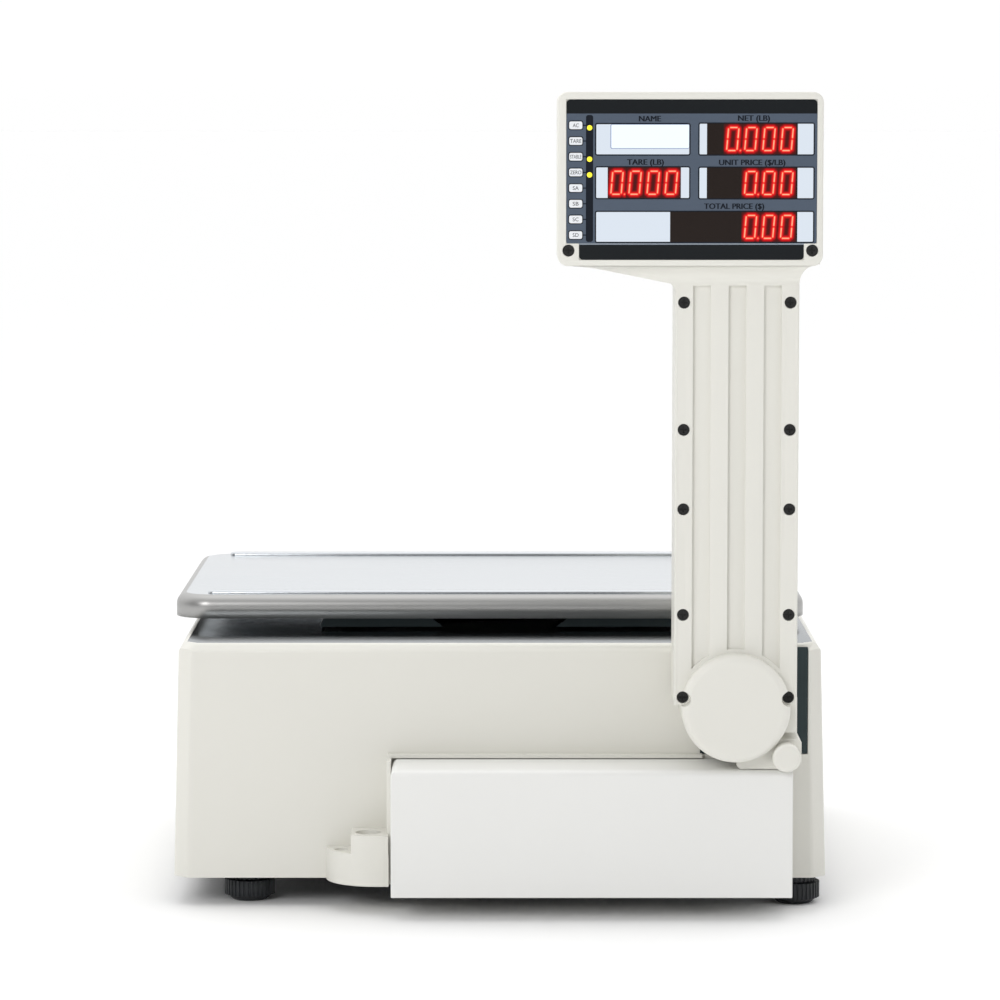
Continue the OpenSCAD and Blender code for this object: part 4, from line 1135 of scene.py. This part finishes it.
@dataclass
class SegmentDigits:
    """Seven-segment numerals as fine grids that carry a glow value per point."""

    digit_width: float = 8.7 * MM
    digit_height: float = 15.6 * MM
    slant: float = 0.085
    columns: int = 30
    rows: int = 50
    core: float = 0.52 * MM
    spread: float = 1.75 * MM

    SHAPES = {
        "0": "abcdef", "1": "bc", "2": "abged", "3": "abgcd", "4": "fgbc",
        "5": "afgcd", "6": "afgedc", "7": "abc", "8": "abcdefg", "9": "abcdfg",
    }

    def strokes(self, digit: str, point: bool) -> list[tuple[Vector, Vector]]:
        """Gives the lit segments of a digit.

        Args:
            digit: One of the ten digits.
            point: Whether its decimal point is lit.

        Returns:
            The end points of each stroke, from the digit's middle.
        """
        w, h, gap = self.digit_width * 0.34, self.digit_height * 0.42, self.digit_width * 0.09
        bar = w * 0.62
        ends = {
            "a": ((-bar, h), (bar, h)),
            "b": ((w, h - gap), (w, gap)),
            "c": ((w, -gap), (w, -h + gap)),
            "d": ((-bar, -h), (bar, -h)),
            "e": ((-w, -gap), (-w, -h + gap)),
            "f": ((-w, h - gap), (-w, gap)),
            "g": ((-w + gap, 0), (w - gap, 0)),
        }
        lit = [ends[s] for s in self.SHAPES[digit]]
        if point:
            dot = (w + self.digit_width * 0.22, -h)
            lit.append((dot, dot))
        lean = Matrix(((1.0, self.slant), (0.0, 1.0)))
        return [tuple(lean @ Vector(p) for p in stroke) for stroke in lit]

    def cell(self, digit: str, point: bool, width: float, height: float) -> bmesh.types.BMesh:
        """Makes one digit's grid.

        Args:
            digit: One of the ten digits.
            point: Whether its decimal point is lit.
            width: Width of the grid.
            height: Height of the grid.

        Returns:
            The grid with its glow values.
        """
        grid = bmesh.new()
        bmesh.ops.create_grid(grid, x_segments=self.columns, y_segments=self.rows, size=0.5)
        bmesh.ops.scale(grid, vec=(width, height, 1.0), verts=grid.verts)
        glow = grid.verts.layers.float.new("glow")
        strokes = self.strokes(digit, point)
        for vert in grid.verts:
            near = min(self.distance(vert.co.xy, a, b) for a, b in strokes)
            if near < self.core:
                vert[glow] = 1.0 - 0.25 * near / self.core
            else:
                vert[glow] = 0.75 * math.exp(-(near - self.core) / self.spread * 1.6)
        return grid

    @staticmethod
    def distance(at: Vector, start: Vector, end: Vector) -> float:
        """Returns the distance from a point to a stroke."""
        along = end - start
        share = 0.0
        if along.length_squared > 0:
            share = max(0.0, min(1.0, (at - start).dot(along) / along.length_squared))
        return (at - start - along * share).length


@dataclass(frozen=True)
class Window:
    """A framed window of the customer film, in mm from the film's top left corner."""

    left: float
    top: float
    right: float
    bottom: float
    dark_left: float
    dark_right: float
    value: str = ""
    points: tuple[int, ...] = ()
    first_column: float = 0.0


@dataclass
class CustomerDisplay:
    """The film on the head: windows, numerals, indicators and captions."""

    pitch: float = 10.35
    windows: tuple[Window, ...] = (
        Window(76.1, 13.8, 141.2, 31.2, 80.3, 132.2, "0000", (0,), 95.05),
        Window(17.1, 38.7, 70.2, 56.1, 23.6, 65.5, "0000", (0,), 28.95),
        Window(76.1, 38.9, 141.2, 56.2, 80.3, 132.2, "000", (0,), 105.4),
        Window(17.1, 64.1, 141.2, 81.1, 59.4, 132.2, "000", (0,), 105.4),
    )
    name_window: Window = Window(17.1, 14.1, 70.2, 31.2, 25.6, 70.2)
    name_bottom: float = 27.7
    captions: tuple[tuple[str, float, float, float], ...] = (
        ("NAME", 47.7, 10.9, 12.4),
        ("NET (LB)", 107.1, 10.6, 18.0),
        ("TARE (LB)", 45.2, 35.6, 20.8),
        ("UNIT PRICE ($/LB)", 106.2, 35.8, 37.7),
        ("TOTAL PRICE ($)", 96.0, 60.8, 34.2),
    )
    caption_height: float = 3.1
    caption_bold: float = 0.19 * MM
    lamps: tuple[str, ...] = ("AC", "TARE", "STABLE", "ZERO", "SA", "SB", "SC", "SD")
    lamps_lit: tuple[int, ...] = (0, 2, 3)
    lamp_top: float = 14.7
    lamp_pitch: float = 8.94
    lamp_column: tuple[float, float, float, float] = (11.2, 8.8, 15.3, 81.2)
    lamp_drop: float = 1.4
    lamp_radius: float = 1.6 * MM
    lamp_sunk: float = 0.3 * MM
    frame_ends: tuple[float, float] = (1.05, 9.65)
    frame_half: float = 2.75
    label_ends: tuple[float, float] = (1.6, 9.1)
    label_half: float = 2.2
    lead_ends: tuple[float, float] = (9.5, 11.4)
    lead_half: float = 0.3
    label_middle: float = 5.35
    label_letters: float = 2.1 * MM
    strip_depth: float = 8.0
    foot_top: float = 82.9
    tab_inset: float = 7.25
    film_corner: float = 2.3
    seam: tuple[float, float] = (0.25, 0.75)
    layer: float = 0.02 * MM
    recess: float = 0.1 * MM
    rim: float = 0.75
    digits: SegmentDigits = field(default_factory=SegmentDigits)

    def build(self) -> None:
        """Makes the film and all that is on it."""
        self.low, self.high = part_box("customer_overlay")
        self.wide = (self.high.x - self.low.x) / MM
        self.tall = (self.high.z - self.low.z) / MM
        self.film()
        self.panes()
        self.numerals()
        self.indicators()
        self.lettered()

    def at(self, left: float, top: float, lift: float = 0.0) -> Matrix:
        """Gives the place of a point on the film.

        Args:
            left: Millimetres right of the film's left edge.
            top: Millimetres below its top edge.
            lift: Layers in front of the film.

        Returns:
            The matrix that seats a part there, facing the customer.
        """
        front = self.low.y + self.recess - lift * self.layer
        place = (self.low.x + left * MM, front, self.high.z - top * MM)
        return Matrix.Translation(place) @ CUSTOMER

    def patch(
        self,
        target: bmesh.types.BMesh,
        box: tuple[float, float, float, float],
        corner: float,
        lift: float,
        slot: int = 0,
    ) -> None:
        """Adds a thin rounded patch to a mesh.

        Args:
            target: The mesh that grows.
            box: Left, top, right and bottom in mm on the film.
            corner: Corner radius in mm.
            lift: Layers in front of the film.
            slot: Material slot.
        """
        left, top, right, bottom = box
        slab = rounded_slab(
            (right - left) * MM, (bottom - top) * MM, self.layer, corner * MM, 0.0, 6
        )
        merge(target, slab, self.at((left + right) / 2, (top + bottom) / 2, lift), slot)

    def film(self) -> None:
        """Makes the printed film: black head strip, slate middle and black foot."""
        depth = self.high.y - self.low.y - self.recess
        wide, tall, inset, step = self.wide, self.tall, self.tab_inset, self.foot_top
        corners = (
            (0.0, 0.0), (wide, 0.0), (wide, step), (wide - inset, step),
            (wide - inset, tall), (inset, tall), (inset, step), (0.0, step),
        )
        shape = outlined_slab([(x * MM, -y * MM) for x, y in corners], depth, self.film_corner * MM)
        place = self.at(0.0, 0.0) @ Matrix.Translation((0.0, 0.0, -depth))
        bmesh.ops.transform(shape, matrix=place, verts=shape.verts)
        for level in (self.strip_depth, step):
            bmesh.ops.bisect_plane(
                shape, geom=shape.verts[:] + shape.edges[:] + shape.faces[:], dist=1e-7,
                plane_co=(0.0, 0.0, self.high.z - level * MM), plane_no=(0.0, 0.0, 1.0),
            )
        for face in shape.faces:
            down = (self.high.z - face.calc_center_median().z) / MM
            face.material_index = int(not self.strip_depth < down < step)
        seam_low, seam_high = self.seam
        ends = (self.film_corner, wide - self.film_corner)
        self.patch(shape, (ends[0], step - seam_high, ends[1], step - seam_low), 0.1, 1, 2)
        finishes = [Finish.FILM, Finish.STRIP, Finish.SEAM]
        seat(shape, "display_film", "post", finishes, ["customer_overlay"])

    def panes(self) -> None:
        """Makes the framed windows."""
        frames, pale, smoked = bmesh.new(), bmesh.new(), bmesh.new()
        rim = self.rim
        for window in (*self.windows, self.name_window):
            outer = (window.left - rim, window.top - rim, window.right + rim, window.bottom + rim)
            inner = (window.left, window.top, window.right, window.bottom)
            self.patch(frames, outer, 1.3, 2)
            self.patch(pale, inner, 0.6, 3)
            if window.value:
                dark = (window.dark_left, window.top - 0.1, window.dark_right, window.bottom + 0.1)
                self.patch(smoked, dark, 0.05, 4)
        seat(frames, "window_frames", "post", [Finish.INK])
        # The pale panes glow by painted light, not by a lamp.
        seat(pale, "window_panes", "post", [Finish.PANEL_LIT])
        modules = ["customer_digit_modules"]
        seat(smoked, "smoked_panes", "post", [Finish.DARK_WINDOW], modules)
        name = bmesh.new()
        box = self.name_window
        edge = (box.dark_left - 0.4, box.top, box.right, self.name_bottom + 0.3)
        lit = (box.dark_left, box.top + 0.2, box.right - 0.1, self.name_bottom)
        self.patch(name, edge, 0.9, 4, 1)
        self.patch(name, lit, 0.7, 5, 0)
        finishes = [Finish.LCD_LIT, Finish.LCD_EDGE]
        seat(name, "name_window", "post", finishes, ["name_lcd_module"])

    def numerals(self) -> None:
        """Makes the red numerals."""
        shown = bmesh.new()
        shown.verts.layers.float.new("glow")
        for window in self.windows:
            height = window.bottom - window.top
            for i, digit in enumerate(window.value):
                cell = self.digits.cell(digit, i in window.points, self.pitch * MM, height * MM)
                middle = (window.top + window.bottom) / 2
                merge(shown, cell, self.at(window.first_column + i * self.pitch, middle, 7))
        bmesh.ops.remove_doubles(shown, verts=shown.verts, dist=1e-6)
        seat(shown, "red_numerals", "post", [Finish.RED_DIGITS])

    def indicators(self) -> None:
        """Makes the lamp column, its labels and the lit lamps."""
        column, plates, lamps = bmesh.new(), bmesh.new(), bmesh.new()
        self.patch(column, self.lamp_column, 1.4, 2)
        across = (self.lamp_column[0] + self.lamp_column[2]) / 2
        for i, word in enumerate(self.lamps):
            level = self.lamp_top + i * self.lamp_pitch
            for target, ends, half, corner, lift in (
                (column, self.frame_ends, self.frame_half, 1.4, 2),
                (plates, self.label_ends, self.label_half, 1.0, 3),
                (column, self.lead_ends, self.lead_half, 0.1, 2),
            ):
                self.patch(target, (ends[0], level - half, ends[1], level + half), corner, lift)
            letters = lettering(word, self.label_letters, min(1.7 * len(word), 6.4) * MM)
            merge(column, letters, self.at(self.label_middle, level, 5))
            if i in self.lamps_lit:
                dome = turned(self.lamp_radius, 0.4 * MM, 0.3 * MM, 24)
                sunk = Matrix.Translation((0, 0, -self.lamp_sunk))
                merge(lamps, dome, self.at(across, level + self.lamp_drop, 3) @ sunk)
        seat(column, "lamp_column", "post", [Finish.INK])
        seat(plates, "lamp_labels", "post", [Finish.LABEL])
        seat(lamps, "yellow_lamps", "post", [Finish.YELLOW])

    def lettered(self) -> None:
        """Makes the generic captions."""
        words = bmesh.new()
        for text, across, level, width in self.captions:
            letters = lettering(text, self.caption_height * MM, width * MM, self.caption_bold)
            merge(words, letters, self.at(across, level, 3))
        seat(words, "captions", "post", [Finish.INK])


@dataclass
class OperatorDisplay:
    """The operator's side of the head: film, glass and grey-green numerals."""

    digits: SegmentDigits = field(
        default_factory=lambda: SegmentDigits(core=0.6 * MM, spread=0.35 * MM, columns=24, rows=36)
    )
    digit_size: tuple[float, float] = (10.4 * MM, 16.5 * MM)
    pitch: float = 10.6 * MM
    glass_border: float = 3 * MM
    caption_height: float = 2.6 * MM
    caption_rise: float = 5.5 * MM
    captions: tuple[tuple[str, float], ...] = (("NET", 0.2), ("TARE", 0.5), ("PRICE", 0.8))
    lines: tuple[tuple[str, tuple[int, ...]], ...] = (
        ("0000", (0,)),
        ("0000", (0,)),
        ("000000", (3,)),
    )

    def build(self) -> None:
        """Makes the operator's film and screen."""
        _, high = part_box("operator_overlay")
        screen_low, screen_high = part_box("operator_lcd_module")
        soft_copy("operator_overlay", "operator_film", Finish.FILM, hairline=0.0)
        middle = (screen_low + screen_high) / 2
        width, height = screen_high.x - screen_low.x, screen_high.z - screen_low.z
        glass = bmesh.new()
        face = Matrix.Translation((middle.x, high.y - 0.02 * MM, middle.z)) @ OPERATOR
        border = self.glass_border
        edge = rounded_slab(width + border, height + border, 0.04 * MM, border / 2, 0.0)
        merge(glass, edge, face)
        pane = rounded_slab(width, height, 0.06 * MM, 1.0 * MM, 0.0)
        merge(glass, pane, face, 1)
        finishes = [Finish.STRIP, Finish.SCREEN]
        seat(glass, "operator_screen", "post", finishes, ["operator_lcd_module"])
        shown = bmesh.new()
        shown.verts.layers.float.new("glow")
        rows = len(self.lines)
        for row, (value, points) in enumerate(self.lines):
            for i, digit in enumerate(value):
                cell = self.digits.cell(digit, i in points, *self.digit_size)
                across = width / 2 - (len(value) - i) * self.pitch
                level = height / 2 - (row + 0.5) * height / rows
                merge(shown, cell, face @ Matrix.Translation((across, level, 0.09 * MM)))
        seat(shown, "operator_numerals", "post", [Finish.LCD_DIGITS])
        words = bmesh.new()
        for text, share in self.captions:
            letters = lettering(text, self.caption_height)
            across, up = width * (share - 0.5), height / 2 + self.caption_rise
            merge(words, letters, face @ Matrix.Translation((across, up, 0.03 * MM)))
        seat(words, "operator_captions", "post", [Finish.LABEL])


@dataclass
class Keypad:
    """The operator's sealed keypad on the slope, with printed key caps."""

    run: float = 78 * MM
    drop: float = 85 * MM
    slope_margin: float = 14 * MM
    sheet: float = 0.8 * MM
    columns: int = 12
    rows: int = 7
    border: float = 5 * MM
    gap: float = 2.4 * MM
    rise: float = 0.6 * MM
    cap_seat: float = 0.75 * MM
    cap_corner: float = 1.2 * MM
    cap_round: float = 0.3 * MM
    mark_height: float = 3.4 * MM
    word_height: float = 1.9 * MM
    ink: float = 0.02 * MM
    number_first: int = 8
    number_block: tuple[str, ...] = ("789", "456", "123", "0.C")

    def build(self) -> None:
        """Makes the keypad sheet, its caps and its numbers."""
        low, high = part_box("keypad_overlay")
        _, cover_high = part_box("body_cover")
        tilt = math.atan2(self.drop, self.run)
        length = math.hypot(self.drop, self.run)
        width = high.x - low.x
        foot = (0.0, cover_high.y, cover_high.z - self.drop)
        turn = Matrix.Rotation(math.pi, 4, "Z") @ Matrix.Rotation(tilt, 4, "X")
        slope = Matrix.Translation(foot) @ turn
        height = length - self.slope_margin
        middle = (low.x + high.x) / 2
        centre = slope @ Matrix.Translation((-middle, length / 2, -self.sheet))
        sheet = bmesh.new()
        merge(sheet, rounded_slab(width, height, self.sheet, 2 * MM, 0.2 * MM), centre)
        caps = bmesh.new()
        marks = bmesh.new()
        step_x = (width - 2 * self.border) / self.columns
        step_y = (height - 2 * self.border) / self.rows
        for column in range(self.columns):
            for row in range(self.rows):
                across = -width / 2 + self.border + (column + 0.5) * step_x
                up = height / 2 - self.border - (row + 0.5) * step_y
                place = centre @ Matrix.Translation((across, up, self.cap_seat))
                cap = rounded_slab(
                    step_x - self.gap, step_y - self.gap, self.rise,
                    self.cap_corner, self.cap_round, 3,
                )
                slot, word = self.kind(column, row)
                merge(caps, cap, place, slot)
                if word:
                    size = self.mark_height if len(word) == 1 else self.word_height
                    on_cap = Matrix.Translation((0, 0, self.rise + self.ink))
                    merge(marks, lettering(word, size), place @ on_cap)
        seat(sheet, "keypad_sheet", "housing", [Finish.FILM], ["keypad_overlay"])
        colours = [
            Finish.KEY_LIGHT, Finish.LABEL, Finish.KEY_BLUE, Finish.KEY_GREEN, Finish.KEY_RED,
        ]
        seat(caps, "key_caps", "housing", colours)
        seat(marks, "key_marks", "housing", [Finish.INK])

    def kind(self, column: int, row: int) -> tuple[int, str]:
        """Gives a key's colour slot and mark.

        Args:
            column: Column from the operator's left.
            row: Row from the top.

        Returns:
            The material slot and the key's mark.
        """
        block = column - self.number_first
        if 0 <= block < 3 and 1 <= row <= 4:
            return 1, self.number_block[row - 1][block]
        if column == self.columns - 1:
            return (4, "") if row == 0 else (3, "PRINT") if row == self.rows - 1 else (2, "")
        if 0 <= block and row in (0, 5, 6):
            return 2, {0: "ZERO", 5: "TARE", 6: "PLU"}[row] if block == 0 else ""
        return 0, ""


@dataclass
class Printer:
    """The label printer drawer and its paper."""

    def build(self) -> None:
        """Makes the drawer's visible pieces."""
        bend = Round(is_bend, HOUSING_ROUND, 4)
        soft_copy("printer_drawer_front", "drawer_face", Finish.CREAM, [bend], 0.0003)
        soft_copy("drawer_latch_button", "latch_button_cap", Finish.SLATE)
        roll_low, roll_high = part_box("label_roll")
        centre = tuple((roll_low + roll_high) / 2)
        paper = WoundPaper("Label roll paper", (0.80, 0.79, 0.76), centre).build()
        mesh = frame["nodes"]["label_roll"].data
        mesh.materials.clear()
        mesh.materials.append(paper)


@dataclass
class Feet:
    """Four knurled feet with their lock rings."""

    corners: tuple[str, ...] = (
        "customer_left", "customer_right", "operator_left", "operator_right",
    )

    def build(self) -> None:
        """Makes each foot and its ring."""
        for corner in self.corners:
            for node, shown in (("foot", "levelling_foot"), ("lock_ring", "knurled_ring")):
                soft_copy(
                    f"{node}_{corner}", f"{shown}_{corner}", Finish.BLACK, hairline=0.0002
                )


def main() -> None:
    """Builds the scale and its studio."""
    for assembly in (
        Studio(), Housing(), Pan(), RearBox(), Post(), CustomerDisplay(), OperatorDisplay(),
        Keypad(), Printer(), Feet(),
    ):
        log.info("building %s", type(assembly).__name__)
        assembly.build()


if __name__ == "__main__":
    main()
